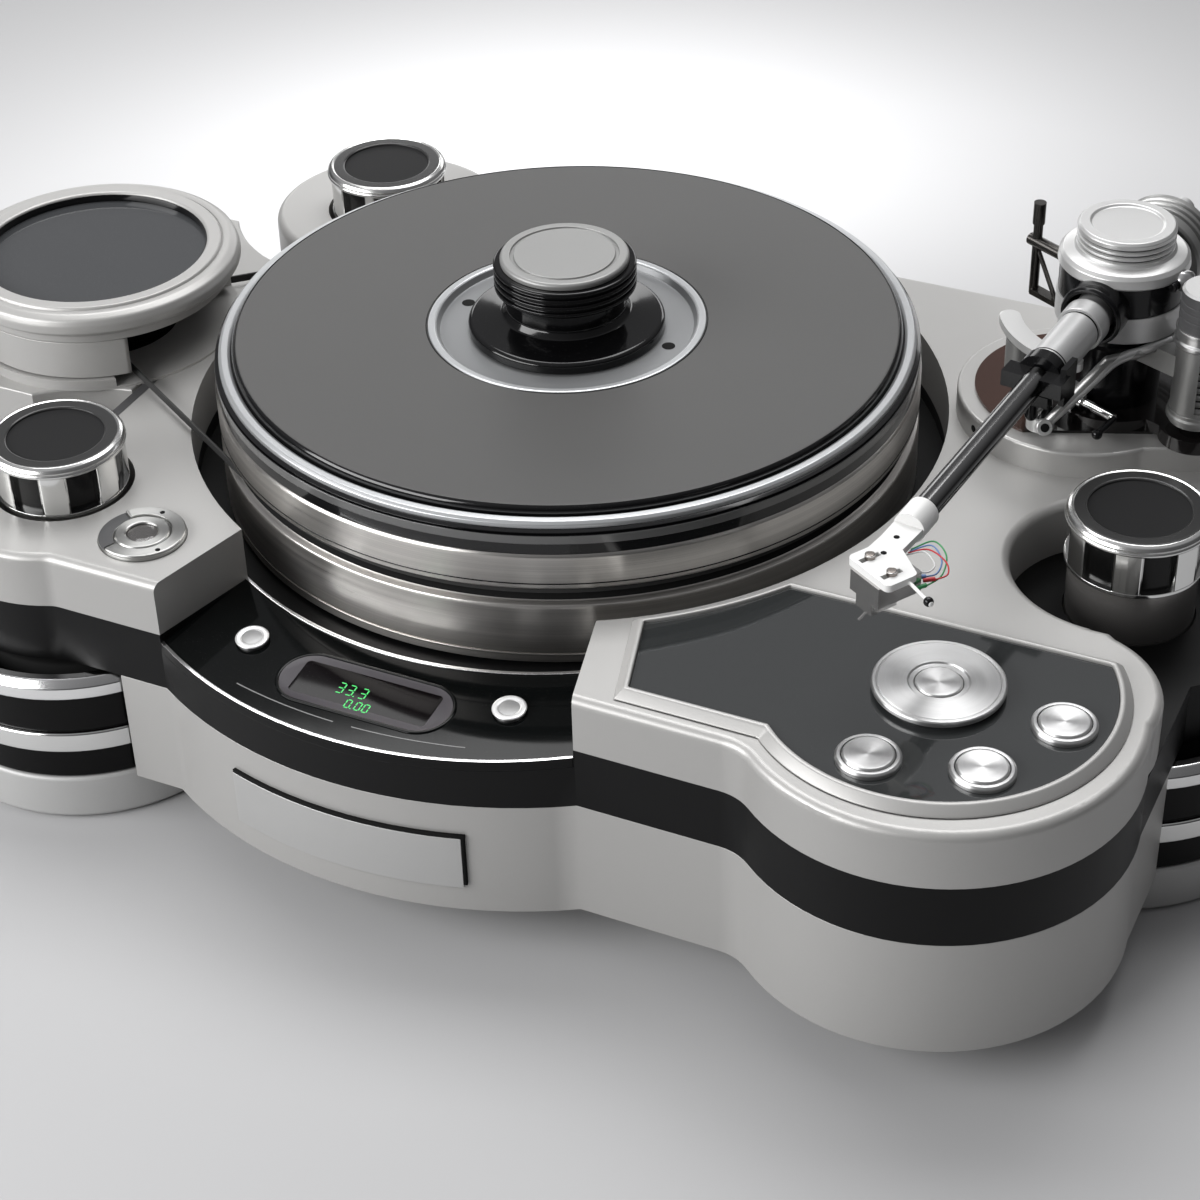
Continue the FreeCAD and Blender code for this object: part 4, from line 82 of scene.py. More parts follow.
class NodeBuilder:
    """Small helper that adds and joins shader nodes in one tree."""

    def __init__(self, tree: bpy.types.NodeTree) -> None:
        """Work in a tree.

        Args:
            tree: the material's or the group's node tree.
        """
        self.tree = tree

    def add(self, kind: str, **values: object) -> bpy.types.Node:
        """Add a node and set its properties and its inputs.

        Args:
            kind: the node's type name.
            **values: properties, or inputs by name with spaces written as underscores.

        Returns:
            The new node.
        """
        node = self.tree.nodes.new(kind)
        for key, value in values.items():
            if hasattr(node, key):
                setattr(node, key, value)
            else:
                node.inputs[key.replace("_", " ")].default_value = value
        return node

    def join(self, source: bpy.types.NodeSocket, target: bpy.types.NodeSocket) -> None:
        """Link one socket to another."""
        self.tree.links.new(source, target)

    def math(self, operation: str, first: object, second: object = 0.0) -> bpy.types.NodeSocket:
        """A math node with sockets or plain numbers as its inputs.

        Args:
            operation: the node's operation.
            first: a socket or a number.
            second: a socket or a number.

        Returns:
            The value that comes out.
        """
        node = self.tree.nodes.new("ShaderNodeMath")
        node.operation = operation
        for index, value in enumerate((first, second)):
            if isinstance(value, bpy.types.NodeSocket):
                self.join(value, node.inputs[index])
            else:
                node.inputs[index].default_value = float(value)
        return node.outputs[0]

    def blend(self, factor: object, first: object, second: object, mode: str = "MIX") -> bpy.types.NodeSocket:
        """A colour mix.

        Args:
            factor: a socket or a number.
            first: a socket or a colour.
            second: a socket or a colour.
            mode: how the two are mixed.

        Returns:
            The colour that comes out.
        """
        node = self.tree.nodes.new("ShaderNodeMix")
        node.data_type = "RGBA"
        node.blend_type = mode
        for socket, value in ((node.inputs[0], factor), (node.inputs[6], first), (node.inputs[7], second)):
            if isinstance(value, bpy.types.NodeSocket):
                self.join(value, socket)
            else:
                socket.default_value = value
        return node.outputs[2]


def grain_group() -> bpy.types.NodeTree:
    """Fine sprayed grain with a faint cloudy shift of tone.

    Returns:
        The group, with Colour, Height and Roughness out.
    """
    group = bpy.data.node_groups.get("fine_grain")
    if group:
        return group
    group = bpy.data.node_groups.new("fine_grain", "ShaderNodeTree")
    face = group.interface
    face.new_socket("Colour", in_out="INPUT", socket_type="NodeSocketColor")
    for name, value in (("Scale", 900.0), ("Mottle", 0.04), ("Roughness", 0.4), ("Spread", 0.08)):
        face.new_socket(name, in_out="INPUT", socket_type="NodeSocketFloat").default_value = value
    face.new_socket("Colour", in_out="OUTPUT", socket_type="NodeSocketColor")
    face.new_socket("Height", in_out="OUTPUT", socket_type="NodeSocketFloat")
    face.new_socket("Roughness", in_out="OUTPUT", socket_type="NodeSocketFloat")
    made = NodeBuilder(group)
    inlet = made.add("NodeGroupInput")
    outlet = made.add("NodeGroupOutput")
    spot = made.add("ShaderNodeTexCoord")
    fine = made.add("ShaderNodeTexNoise", Detail=3.0)
    made.join(spot.outputs["Object"], fine.inputs["Vector"])
    made.join(inlet.outputs["Scale"], fine.inputs["Scale"])
    cloud = made.add("ShaderNodeTexNoise", Scale=14.0, Detail=4.0)
    made.join(spot.outputs["Object"], cloud.inputs["Vector"])
    shift = made.math("MULTIPLY", made.math("SUBTRACT", cloud.outputs["Fac"], 0.5), inlet.outputs["Mottle"])
    speck = made.math("MULTIPLY", made.math("SUBTRACT", fine.outputs["Fac"], 0.5), inlet.outputs["Mottle"])
    tone = made.math("ADD", made.math("ADD", shift, speck), 1.0)
    level = made.add("ShaderNodeCombineColor")
    for index in range(3):
        made.join(tone, level.inputs[index])
    colour = made.blend(1.0, inlet.outputs["Colour"], level.outputs[0], "MULTIPLY")
    spread = made.math("MULTIPLY", made.math("SUBTRACT", cloud.outputs["Fac"], 0.5), inlet.outputs["Spread"])
    made.join(colour, outlet.inputs["Colour"])
    made.join(fine.outputs["Fac"], outlet.inputs["Height"])
    made.join(made.math("ADD", inlet.outputs["Roughness"], spread), outlet.inputs["Roughness"])
    return group


def turning_group() -> bpy.types.NodeTree:
    """Fine lathe lines about an upright axis, with long soft streaks.

    Returns:
        The group, with Streak, Height and Roughness out.
    """
    group = bpy.data.node_groups.get("lathe_lines")
    if group:
        return group
    group = bpy.data.node_groups.new("lathe_lines", "ShaderNodeTree")
    face = group.interface
    face.new_socket("Centre", in_out="INPUT", socket_type="NodeSocketVector")
    for name, value in (("Fineness", 4000.0), ("Roughness", 0.25), ("Spread", 0.15)):
        face.new_socket(name, in_out="INPUT", socket_type="NodeSocketFloat").default_value = value
    for name in ("Streak", "Height", "Roughness"):
        face.new_socket(name, in_out="OUTPUT", socket_type="NodeSocketFloat")
    made = NodeBuilder(group)
    inlet = made.add("NodeGroupInput")
    outlet = made.add("NodeGroupOutput")
    spot = made.add("ShaderNodeTexCoord")
    offset = made.add("ShaderNodeVectorMath", operation="SUBTRACT")
    made.join(spot.outputs["Object"], offset.inputs[0])
    made.join(inlet.outputs["Centre"], offset.inputs[1])
    parts = made.add("ShaderNodeSeparateXYZ")
    made.join(offset.outputs[0], parts.inputs[0])
    squares = made.math("ADD", made.math("MULTIPLY", parts.outputs[0], parts.outputs[0]),
                        made.math("MULTIPLY", parts.outputs[1], parts.outputs[1]))
    radius = made.math("SQRT", squares)
    turn = made.math("ARCTAN2", parts.outputs[1], parts.outputs[0])
    fine = made.add("ShaderNodeCombineXYZ")
    made.join(made.math("MULTIPLY", radius, inlet.outputs["Fineness"]), fine.inputs[0])
    made.join(made.math("MULTIPLY", parts.outputs[2], inlet.outputs["Fineness"]), fine.inputs[1])
    made.join(made.math("MULTIPLY", turn, 1.5), fine.inputs[2])
    lines = made.add("ShaderNodeTexNoise", Scale=1.0, Detail=2.0)
    made.join(fine.outputs[0], lines.inputs["Vector"])
    coarse = made.add("ShaderNodeCombineXYZ")
    made.join(made.math("MULTIPLY", radius, 420.0), coarse.inputs[0])
    made.join(made.math("MULTIPLY", parts.outputs[2], 420.0), coarse.inputs[1])
    made.join(made.math("MULTIPLY", turn, 0.8), coarse.inputs[2])
    bands = made.add("ShaderNodeTexNoise", Scale=1.0, Detail=3.0)
    made.join(coarse.outputs[0], bands.inputs["Vector"])
    streak = made.math("ADD", made.math("MULTIPLY", lines.outputs["Fac"], 0.5),
                       made.math("MULTIPLY", bands.outputs["Fac"], 0.5))
    spread = made.math("MULTIPLY", made.math("SUBTRACT", streak, 0.5), inlet.outputs["Spread"])
    made.join(streak, outlet.inputs["Streak"])
    made.join(lines.outputs["Fac"], outlet.inputs["Height"])
    made.join(made.math("ADD", inlet.outputs["Roughness"], spread), outlet.inputs["Roughness"])
    return group


def smudge_group() -> bpy.types.NodeTree:
    """Faint finger haze and dust specks for polished surfaces.

    Returns:
        The group, with Haze and Dust out.
    """
    group = bpy.data.node_groups.get("haze_and_dust")
    if group:
        return group
    group = bpy.data.node_groups.new("haze_and_dust", "ShaderNodeTree")
    face = group.interface
    for name, value in (("Scale", 30.0), ("Roughness", 0.06), ("Haze", 0.08), ("Dust", 0.02)):
        face.new_socket(name, in_out="INPUT", socket_type="NodeSocketFloat").default_value = value
    for name in ("Roughness", "Dust"):
        face.new_socket(name, in_out="OUTPUT", socket_type="NodeSocketFloat")
    made = NodeBuilder(group)
    inlet = made.add("NodeGroupInput")
    outlet = made.add("NodeGroupOutput")
    spot = made.add("ShaderNodeTexCoord")
    haze = made.add("ShaderNodeTexNoise", Detail=6.0, Roughness=0.6)
    made.join(spot.outputs["Object"], haze.inputs["Vector"])
    made.join(inlet.outputs["Scale"], haze.inputs["Scale"])
    veil = made.math("MULTIPLY", made.math("POWER", haze.outputs["Fac"], 3.0), inlet.outputs["Haze"])
    specks = made.add("ShaderNodeTexVoronoi", Scale=700.0)
    made.join(spot.outputs["Object"], specks.inputs["Vector"])
    dots = made.math("LESS_THAN", specks.outputs["Distance"], 0.09)
    made.join(made.math("ADD", inlet.outputs["Roughness"], veil), outlet.inputs["Roughness"])
    made.join(made.math("MULTIPLY", dots, inlet.outputs["Dust"]), outlet.inputs["Dust"])
    return group


@dataclass(frozen=True)
class Finish:
    """What every finish has: a name, a colour and the record's slot it belongs to."""

    name: str
    colour: tuple[float, float, float]
    slot: str
    roughness: float = 0.4
    specular: float = 0.5

    def material(self) -> bpy.types.Material:
        """The Blender material, made once.

        Returns:
            The finished material.
        """
        found = bpy.data.materials.get(self.name)
        if found:
            return found
        material = bpy.data.materials.new(self.name)
        material.use_nodes = True
        material.node_tree.nodes.clear()
        made = NodeBuilder(material.node_tree)
        shader = made.add("ShaderNodeBsdfPrincipled")
        shader.inputs["Roughness"].default_value = self.roughness
        shader.inputs["Base Color"].default_value = (*self.colour, 1.0)
        shader.inputs["Specular IOR Level"].default_value = self.specular
        outlet = made.add("ShaderNodeOutputMaterial")
        made.join(shader.outputs[0], outlet.inputs["Surface"])
        self.dress(made, shader)
        material.diffuse_color = (*self.colour, 1.0)
        return material

    def dress(self, made: NodeBuilder, shader: bpy.types.Node) -> None:
        """Add what this finish shows beyond its colour."""

    def bump(self, made: NodeBuilder, shader: bpy.types.Node, height: bpy.types.NodeSocket,
             depth: float) -> None:
        """Raise the surface by a height.

        Args:
            made: the material's node helper.
            shader: the surface shader.
            height: the height socket.
            depth: the relief's depth in metres.
        """
        bump = made.add("ShaderNodeBump", Strength=1.0, Distance=depth)
        made.join(height, bump.inputs["Height"])
        made.join(bump.outputs[0], shader.inputs["Normal"])


@dataclass(frozen=True)
class SatinPaint(Finish):
    """Sprayed satin paint with fine grain."""

    grain: float = 1500.0
    depth: float = 0.00002
    mottle: float = 0.05
    metallic: float = 0.0
    coat: float = 0.0

    def dress(self, made: NodeBuilder, shader: bpy.types.Node) -> None:
        """Fine grain in tone, gloss and relief."""
        group = made.add("ShaderNodeGroup", node_tree=grain_group())
        group.inputs["Colour"].default_value = (*self.colour, 1.0)
        group.inputs["Scale"].default_value = self.grain
        group.inputs["Mottle"].default_value = self.mottle
        group.inputs["Roughness"].default_value = self.roughness
        made.join(group.outputs["Colour"], shader.inputs["Base Color"])
        made.join(group.outputs["Roughness"], shader.inputs["Roughness"])
        shader.inputs["Metallic"].default_value = self.metallic
        shader.inputs["Coat Weight"].default_value = self.coat
        shader.inputs["Coat Roughness"].default_value = 0.25
        self.bump(made, shader, group.outputs["Height"], self.depth)


@dataclass(frozen=True)
class TurnedMetal(Finish):
    """Metal with the fine lines that a lathe leaves about one upright axis."""

    centre: tuple[float, float] = (0.0, 0.0)
    fineness: float = 5200.0
    depth: float = 0.00001
    contrast: float = 0.22
    anisotropy: float = 0.75

    def dress(self, made: NodeBuilder, shader: bpy.types.Node) -> None:
        """Lines in tone, gloss and relief, and a stretched highlight."""
        group = made.add("ShaderNodeGroup", node_tree=turning_group())
        group.inputs["Centre"].default_value = place(*self.centre, 0.0)
        group.inputs["Fineness"].default_value = self.fineness
        group.inputs["Roughness"].default_value = self.roughness
        dark = tuple(channel * (1 - self.contrast) for channel in self.colour)
        bright = tuple(min(1.0, channel * (1 + self.contrast)) for channel in self.colour)
        ramp = made.add("ShaderNodeValToRGB")
        ramp.color_ramp.elements[0].position = 0.3
        ramp.color_ramp.elements[0].color = (*dark, 1.0)
        ramp.color_ramp.elements[1].position = 0.7
        ramp.color_ramp.elements[1].color = (*bright, 1.0)
        made.join(group.outputs["Streak"], ramp.inputs[0])
        made.join(ramp.outputs[0], shader.inputs["Base Color"])
        made.join(group.outputs["Roughness"], shader.inputs["Roughness"])
        shader.inputs["Metallic"].default_value = 1.0
        shader.inputs["Anisotropic"].default_value = self.anisotropy
        shader.inputs["Anisotropic Rotation"].default_value = 0.25
        tangent = made.add("ShaderNodeTangent", direction_type="RADIAL", axis="Z")
        made.join(tangent.outputs[0], shader.inputs["Tangent"])
        self.bump(made, shader, group.outputs["Height"], self.depth)


@dataclass(frozen=True)
class Polished(Finish):
    """Bright polished metal with a faint haze."""

    haze: float = 0.10

    def dress(self, made: NodeBuilder, shader: bpy.types.Node) -> None:
        """Haze in the gloss."""
        group = made.add("ShaderNodeGroup", node_tree=smudge_group())
        group.inputs["Roughness"].default_value = self.roughness
        group.inputs["Haze"].default_value = self.haze
        made.join(group.outputs["Roughness"], shader.inputs["Roughness"])
        shader.inputs["Metallic"].default_value = 1.0


@dataclass(frozen=True)
class DarkGloss(Finish):
    """Gloss black or dark glass, with haze and a few specks of dust."""

    haze: float = 0.06
    dust: float = 0.05
    coat: float = 0.6

    def dress(self, made: NodeBuilder, shader: bpy.types.Node) -> None:
        """Haze in the gloss, and dust over the colour."""
        group = made.add("ShaderNodeGroup", node_tree=smudge_group())
        group.inputs["Roughness"].default_value = self.roughness
        group.inputs["Haze"].default_value = self.haze
        group.inputs["Dust"].default_value = self.dust
        tone = made.blend(group.outputs["Dust"], (*self.colour, 1.0), (0.6, 0.6, 0.6, 1.0))
        made.join(tone, shader.inputs["Base Color"])
        made.join(group.outputs["Roughness"], shader.inputs["Roughness"])
        shader.inputs["Coat Weight"].default_value = self.coat
        shader.inputs["Coat Roughness"].default_value = 0.03


@dataclass(frozen=True)
class Inlay(DarkGloss):
    """Gloss inlay whose polished wood shows brown at its left end."""

    brown: tuple[float, float, float] = (0.045, 0.017, 0.010)
    edge: float = 0.182

    def dress(self, made: NodeBuilder, shader: bpy.types.Node) -> None:
        """Brown that gives way to black along the board, with a fine figure in it."""
        spot = made.add("ShaderNodeTexCoord")
        parts = made.add("ShaderNodeSeparateXYZ")
        made.join(spot.outputs["Object"], parts.inputs[0])
        figure = made.add("ShaderNodeTexNoise", Scale=60.0, Detail=5.0)
        made.join(spot.outputs["Object"], figure.inputs["Vector"])
        wander = made.math("MULTIPLY", made.math("SUBTRACT", figure.outputs["Fac"], 0.5), 0.01)
        reach = made.math("SUBTRACT", self.edge, made.math("ADD", parts.outputs[0], wander))
        share = made.math("MINIMUM", made.math("MAXIMUM", made.math("MULTIPLY", reach, 160.0), 0.0), 1.0)
        made.join(made.blend(share, (*self.colour, 1.0), (*self.brown, 1.0)), shader.inputs["Base Color"])
        group = made.add("ShaderNodeGroup", node_tree=smudge_group())
        group.inputs["Roughness"].default_value = self.roughness
        made.join(group.outputs["Roughness"], shader.inputs["Roughness"])
        shader.inputs["Coat Weight"].default_value = self.coat


@dataclass(frozen=True)
class Glow(Finish):
    """A lit display segment."""

    strength: float = 2.5

    def dress(self, made: NodeBuilder, shader: bpy.types.Node) -> None:
        """Light from the segment itself, a little uneven along it."""
        spot = made.add("ShaderNodeTexCoord")
        noise = made.add("ShaderNodeTexNoise", Scale=260.0, Detail=2.0)
        made.join(spot.outputs["Object"], noise.inputs["Vector"])
        tone = made.blend(noise.outputs["Fac"], tuple(0.7 * c for c in self.colour) + (1.0,),
                          (*self.colour, 1.0))
        made.join(tone, shader.inputs["Emission Color"])
        shader.inputs["Emission Strength"].default_value = self.strength


@dataclass(frozen=True)
class ClearGlass(Finish):
    """Clear glass or liquid."""

    def dress(self, made: NodeBuilder, shader: bpy.types.Node) -> None:
        """See-through, with a faint haze."""
        group = made.add("ShaderNodeGroup", node_tree=smudge_group())
        group.inputs["Roughness"].default_value = self.roughness
        made.join(group.outputs["Roughness"], shader.inputs["Roughness"])
        shader.inputs["Transmission Weight"].default_value = 0.9
        shader.inputs["IOR"].default_value = 1.47


CHASSIS_SILVER = SatinPaint("chassis_silver_paint", (0.42, 0.415, 0.405), "silver_paint", 0.40, metallic=0.35)
FOOT_GREY = SatinPaint("foot_grey_paint", (0.46, 0.46, 0.455), "foot_grey", 0.45, metallic=0.2)
BAND_BLACK = SatinPaint("band_black_satin", (0.0035, 0.0035, 0.0037), "black_satin", 0.42, 0.18, grain=2600.0)
HOUSING_BLACK = SatinPaint("housing_black_gloss", (0.002, 0.002, 0.002), "black_satin", 0.2, 0.15)
MAT_GREY = SatinPaint("record_mat_grey", (0.068, 0.067, 0.066), "mat", 0.46, 0.35, grain=2600.0, mottle=0.12,
                      depth=0.00004)
BRUSHED = TurnedMetal("platter_turned_metal", (0.62, 0.60, 0.575), "brushed", 0.30)
# Turned metal of the bearing, darkened as painted shade under the platter.
BEARING_IN_SHADE = TurnedMetal("bearing_metal_in_painted_shade", (0.10, 0.10, 0.10), "brushed", 0.35)
RING_BRIGHT = SatinPaint("platter_ring_bright", (0.50, 0.51, 0.52), "bright_metal", 0.34, metallic=0.7)
DISH_BRIGHT = SatinPaint("dish_bright", (0.245, 0.25, 0.255), "bright_metal", 0.38, metallic=0.6)
# Gloss black of the platter's rim; also painted shade on the mat's edges, in a groove line on the upper disc and on
# the motor cover's inner wall.
RIM_BLACK_AND_SHADE = DarkGloss("rim_black_and_painted_shade", (0.004, 0.004, 0.0045), "black_metal", 0.12, 0.35, coat=0.25)
RIM_GREY = DarkGloss("rim_line_grey", (0.10, 0.10, 0.10), "black_metal", 0.25)
CHROME = Polished("polished_chrome", (0.80, 0.80, 0.79), "bright_metal", 0.09)
COLUMN = SatinPaint("column_polish", (0.30, 0.29, 0.28), "bright_metal", 0.22, metallic=0.75)
RIM_CHROME = Polished("cap_rim_chrome", (0.72, 0.72, 0.71), "bright_metal", 0.20)
CLAMP_BLACK = DarkGloss("clamp_black_gloss", (0.003, 0.003, 0.0033), "black_metal", 0.10, 0.35, coat=0.1)
CLAMP_SILVER = SatinPaint("clamp_top_silver", (0.30, 0.30, 0.295), "satin_aluminium", 0.42, metallic=0.5)
CAP_INSERT = SatinPaint("cap_insert_black", (0.012, 0.012, 0.0125), "black_satin", 0.6, 0.12, grain=2200.0)
CAP_GLOSS = DarkGloss("cap_gloss_ring", (0.030, 0.030, 0.030), "black_gloss", 0.20, 0.4, coat=0.0)
CAP_WINDOW = DarkGloss("cap_window_black", (0.003, 0.003, 0.003), "black_gloss", 0.22, 0.25, coat=0.0)
DECK_GLASS = DarkGloss("control_dark_glass", (0.027, 0.029, 0.0295), "dark_glass", 0.07, 0.8)
MOTOR_GLASS = DarkGloss("motor_dark_glass", (0.050, 0.052, 0.055), "dark_glass", 0.12)
PANEL_BLACK = DarkGloss("display_panel_gloss", (0.003, 0.0035, 0.0035), "black_gloss", 0.06, 0.16, coat=0.0)
LENS_BLACK = DarkGloss("display_lens", (0.003, 0.002, 0.0025), "display_glass", 0.08, 0.14, coat=0.0)
LENS_SHELL = DarkGloss("display_bezel", (0.040, 0.035, 0.042), "display_glass", 0.3, 0.3, coat=0.0)
PRINT_GREY = SatinPaint("printed_grey", (0.20, 0.20, 0.20), "black_gloss", 0.5)
KEY_RING = SatinPaint("key_ring_satin", (0.66, 0.66, 0.66), "satin_aluminium", 0.34, metallic=0.5)
KEY_FACE = SatinPaint("key_face_satin", (0.30, 0.30, 0.30), "satin_aluminium", 0.36, metallic=0.5)
DIGIT_GREEN = Glow("display_green", (0.015, 0.26, 0.05), "display_glass", 0.2)
TRIM_BRIGHT = Polished("trim_bright", (0.85, 0.85, 0.85), "bright_metal", 0.16)
PLATE_GREY = SatinPaint("name_plate_grey", (0.47, 0.47, 0.465), "name_plate", 0.40, metallic=0.5)
BOARD_SILVER = SatinPaint("arm_board_silver", (0.44, 0.435, 0.425), "satin_aluminium", 0.36, metallic=0.5)
ARM_SILVER = Polished("arm_silver", (0.62, 0.62, 0.62), "satin_aluminium", 0.27)
ARM_SATIN = SatinPaint("arm_satin_silver", (0.64, 0.64, 0.635), "satin_aluminium", 0.34, metallic=0.7)
SLEEVE = SatinPaint("sleeve_satin_silver", (0.50, 0.50, 0.50), "satin_aluminium", 0.36, metallic=0.55)
ARM_BLACK = DarkGloss("arm_black", (0.0035, 0.0035, 0.004), "black_metal", 0.16, 0.3, coat=0.0)
INLAY_DARK = Inlay("inlay_dark", (0.008, 0.007, 0.007), "black_metal", 0.12, coat=0.3)
FRAME_GREY = Polished("frame_dark_metal", (0.10, 0.095, 0.09), "black_metal", 0.22)
PILLAR_GREY = SatinPaint("pillar_grey", (0.30, 0.30, 0.295), "satin_aluminium", 0.34, metallic=0.7)
# Dark grey of the adjuster's grip; also painted shade in the level's recess, the hub cap's grooves and the seam
# beside the motor block.
DARK_GREY_AND_SHADE = SatinPaint("dark_grey_and_painted_shade", (0.06, 0.06, 0.062), "black_metal", 0.40)
PICKUP_CHROME = SatinPaint("pickup_chrome", (0.55, 0.54, 0.53), "black_metal", 0.12, metallic=0.88)
SCREW_HEAD = Polished("screw_head", (0.30, 0.27, 0.25), "black_metal", 0.25)
TUBE_DARK = Polished("arm_tube_dark", (0.17, 0.17, 0.17), "dark_tube", 0.14)
SHELL_WHITE = SatinPaint("headshell_white", (0.78, 0.78, 0.77), "shell_white", 0.32)
BELT_BLACK = SatinPaint("belt_rubber", (0.006, 0.006, 0.006), "belt_rubber", 0.6, 0.3, grain=3000.0)
RUBBER = SatinPaint("dark_rubber", (0.008, 0.008, 0.008), "air_rubber", 0.7, 0.3, grain=2500.0)
BUTTON_SILVER = TurnedMetal("button_silver", (0.62, 0.62, 0.62), "satin_aluminium", 0.30, contrast=0.06)
VIAL = ClearGlass("level_vial", (0.75, 0.72, 0.71), "satin_aluminium", 0.05)
# Flat black for small screws, scale ticks and a line on the sleeve; also painted shade in the belt groove, in holes
# and in the gap round the name plate.
BLACK_MARKS_AND_SHADE = SatinPaint("black_marks_and_painted_shade", (0.003, 0.003, 0.003), "black_metal", 0.8, 0.2)
LEADS = {
    "red": SatinPaint("lead_red", (0.55, 0.03, 0.04), "black_metal", 0.45),
    "green": SatinPaint("lead_green", (0.03, 0.25, 0.08), "black_metal", 0.45),
    "blue": SatinPaint("lead_blue", (0.12, 0.22, 0.45), "black_metal", 0.45),
    "white": SatinPaint("lead_white", (0.75, 0.75, 0.75), "black_metal", 0.45),
}


class Workshop:
    """Makes meshes, dresses them and lets them ride on the right body."""

    def __init__(self, frame: dict) -> None:
        """Keep the frame's nodes.
        """
        self.nodes: dict[str, bpy.types.Object] = frame["nodes"]

    def piece(self, name: str, mesh: bpy.types.Mesh, finish: Finish, body: str,
              stands_for: Iterable[str] = ()) -> bpy.types.Object:
        """Put a mesh in the scene, dressed and riding.

        Args:
            name: the piece's name.
            mesh: its mesh, in the model's metres.
            finish: its finish.
            body: the body it rides on.
            stands_for: the nodes it replaces.

        Returns:
            The new object.
        """
        item = bpy.data.objects.new(name, mesh)
        bpy.context.scene.collection.objects.link(item)
        mesh.materials.append(finish.material())
        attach(item, body)
        for node in stands_for:
            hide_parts(node)
        log.info("made %s", name)
        return item

    def keep(self, node: str, finish: Finish, ease: float = 0.35) -> bpy.types.Object:
        """Dress a node that is shown as it is, with softened edges and clean shading.

        Args:
            node: the node's name.
            finish: its finish.
            ease: how far its sharp edges are softened, in millimetres.

        Returns:
            The node's object.
        """
        item = self.nodes[node]
        item.data.materials.clear()
        item.data.materials.append(finish.material())
        soften(item, ease)
        log.info("dressed %s", node)
        return item


def zone(item: bpy.types.Object, finish: Finish, inside: Callable[[Vector], bool]) -> None:
    """Give some faces of a node that is shown as it is another finish.

    Args:
        item: the node's object.
        finish: their finish.
        inside: tells from a face's middle, in millimetres from the platter's axis, whether it is one.
    """
    item.data.materials.append(finish.material())
    index = len(item.data.materials) - 1
    for polygon in item.data.polygons:
        if inside(polygon.center * 1000 - PLATTER_AXIS):
            polygon.material_index = index


def soften(item: bpy.types.Object, ease: float) -> None:
    """Weld, bevel and shade an object smoothly with flat faces kept flat.

    Args:
        item: the object.
        ease: the bevel's width in millimetres, or 0 for none.
    """
    for polygon in item.data.polygons:
        polygon.use_smooth = True
    weld = item.modifiers.new("weld", "WELD")
    weld.merge_threshold = 0.00001
    if ease > 0:
        bevel = item.modifiers.new("ease", "BEVEL")
        bevel.width = ease / 1000
        bevel.segments = 2
        bevel.limit_method = "ANGLE"
        bevel.angle_limit = math.radians(32)
        bevel.use_clamp_overlap = True
        bevel.miter_outer = "MITER_ARC"
    weighted = item.modifiers.new("flat_faces", "WEIGHTED_NORMAL")
    weighted.mode = "FACE_AREA"
    weighted.weight = 90
    weighted.keep_sharp = True


def eased(profile: Profile, radius: float, steps: int = 3, closed: bool = True) -> list[tuple[float, float]]:
    """A profile with each corner replaced by a small curve.

    Args:
        profile: (radius, height) corners in millimetres.
        radius: how far from each corner the curve starts.
        steps: how many points each curve has.
        closed: whether the last corner joins the first.

    Returns:
        The softened profile.
    """
    if radius <= 0:
        return list(profile)
    points = [Vector(corner) for corner in profile]
    count = len(points)
    result: list[tuple[float, float]] = []
    for index, corner in enumerate(points):
        if not closed and index in (0, count - 1):
            result.append(tuple(corner))
            continue
        before, after = points[index - 1] - corner, points[(index + 1) % count] - corner
        if before.length < 1e-6 or after.length < 1e-6:
            result.append(tuple(corner))
            continue
        turn = math.pi - before.angle(after)
        if turn < math.radians(10) or corner.x < 0.01:
            result.append(tuple(corner))
            continue
        reach = min(radius, before.length * 0.42, after.length * 0.42)
        start, end = corner + before.normalized() * reach, corner + after.normalized() * reach
        for step in range(steps + 1):
            t = step / steps
            result.append(tuple((1 - t) ** 2 * start + 2 * t * (1 - t) * corner + t ** 2 * end))
    return result


def tidy_mesh(name: str, mesh: bmesh.types.BMesh) -> bpy.types.Mesh:
    """Weld, face outwards and shade smoothly.

    Args:
        name: the mesh's name.
        mesh: the working mesh, which is freed.

    Returns:
        The finished mesh.
    """
    bmesh.ops.remove_doubles(mesh, verts=mesh.verts, dist=1e-6)
    bmesh.ops.recalc_face_normals(mesh, faces=mesh.faces)
    data = bpy.data.meshes.new(name)
    mesh.to_mesh(data)
    mesh.free()
    for polygon in data.polygons:
        polygon.use_smooth = True
    return data


def on_axis(centre: Vector, axis: Vector) -> Matrix:
    """The matrix that stands a piece, drawn about +Z in metres, on an axis.

    Args:
        centre: where its own origin goes.
        axis: which way its +Z points.

    Returns:
        The matrix.
    """
    turn = UPRIGHT.rotation_difference(axis.normalized()).to_matrix().to_4x4()
    return Matrix.Translation(centre) @ turn


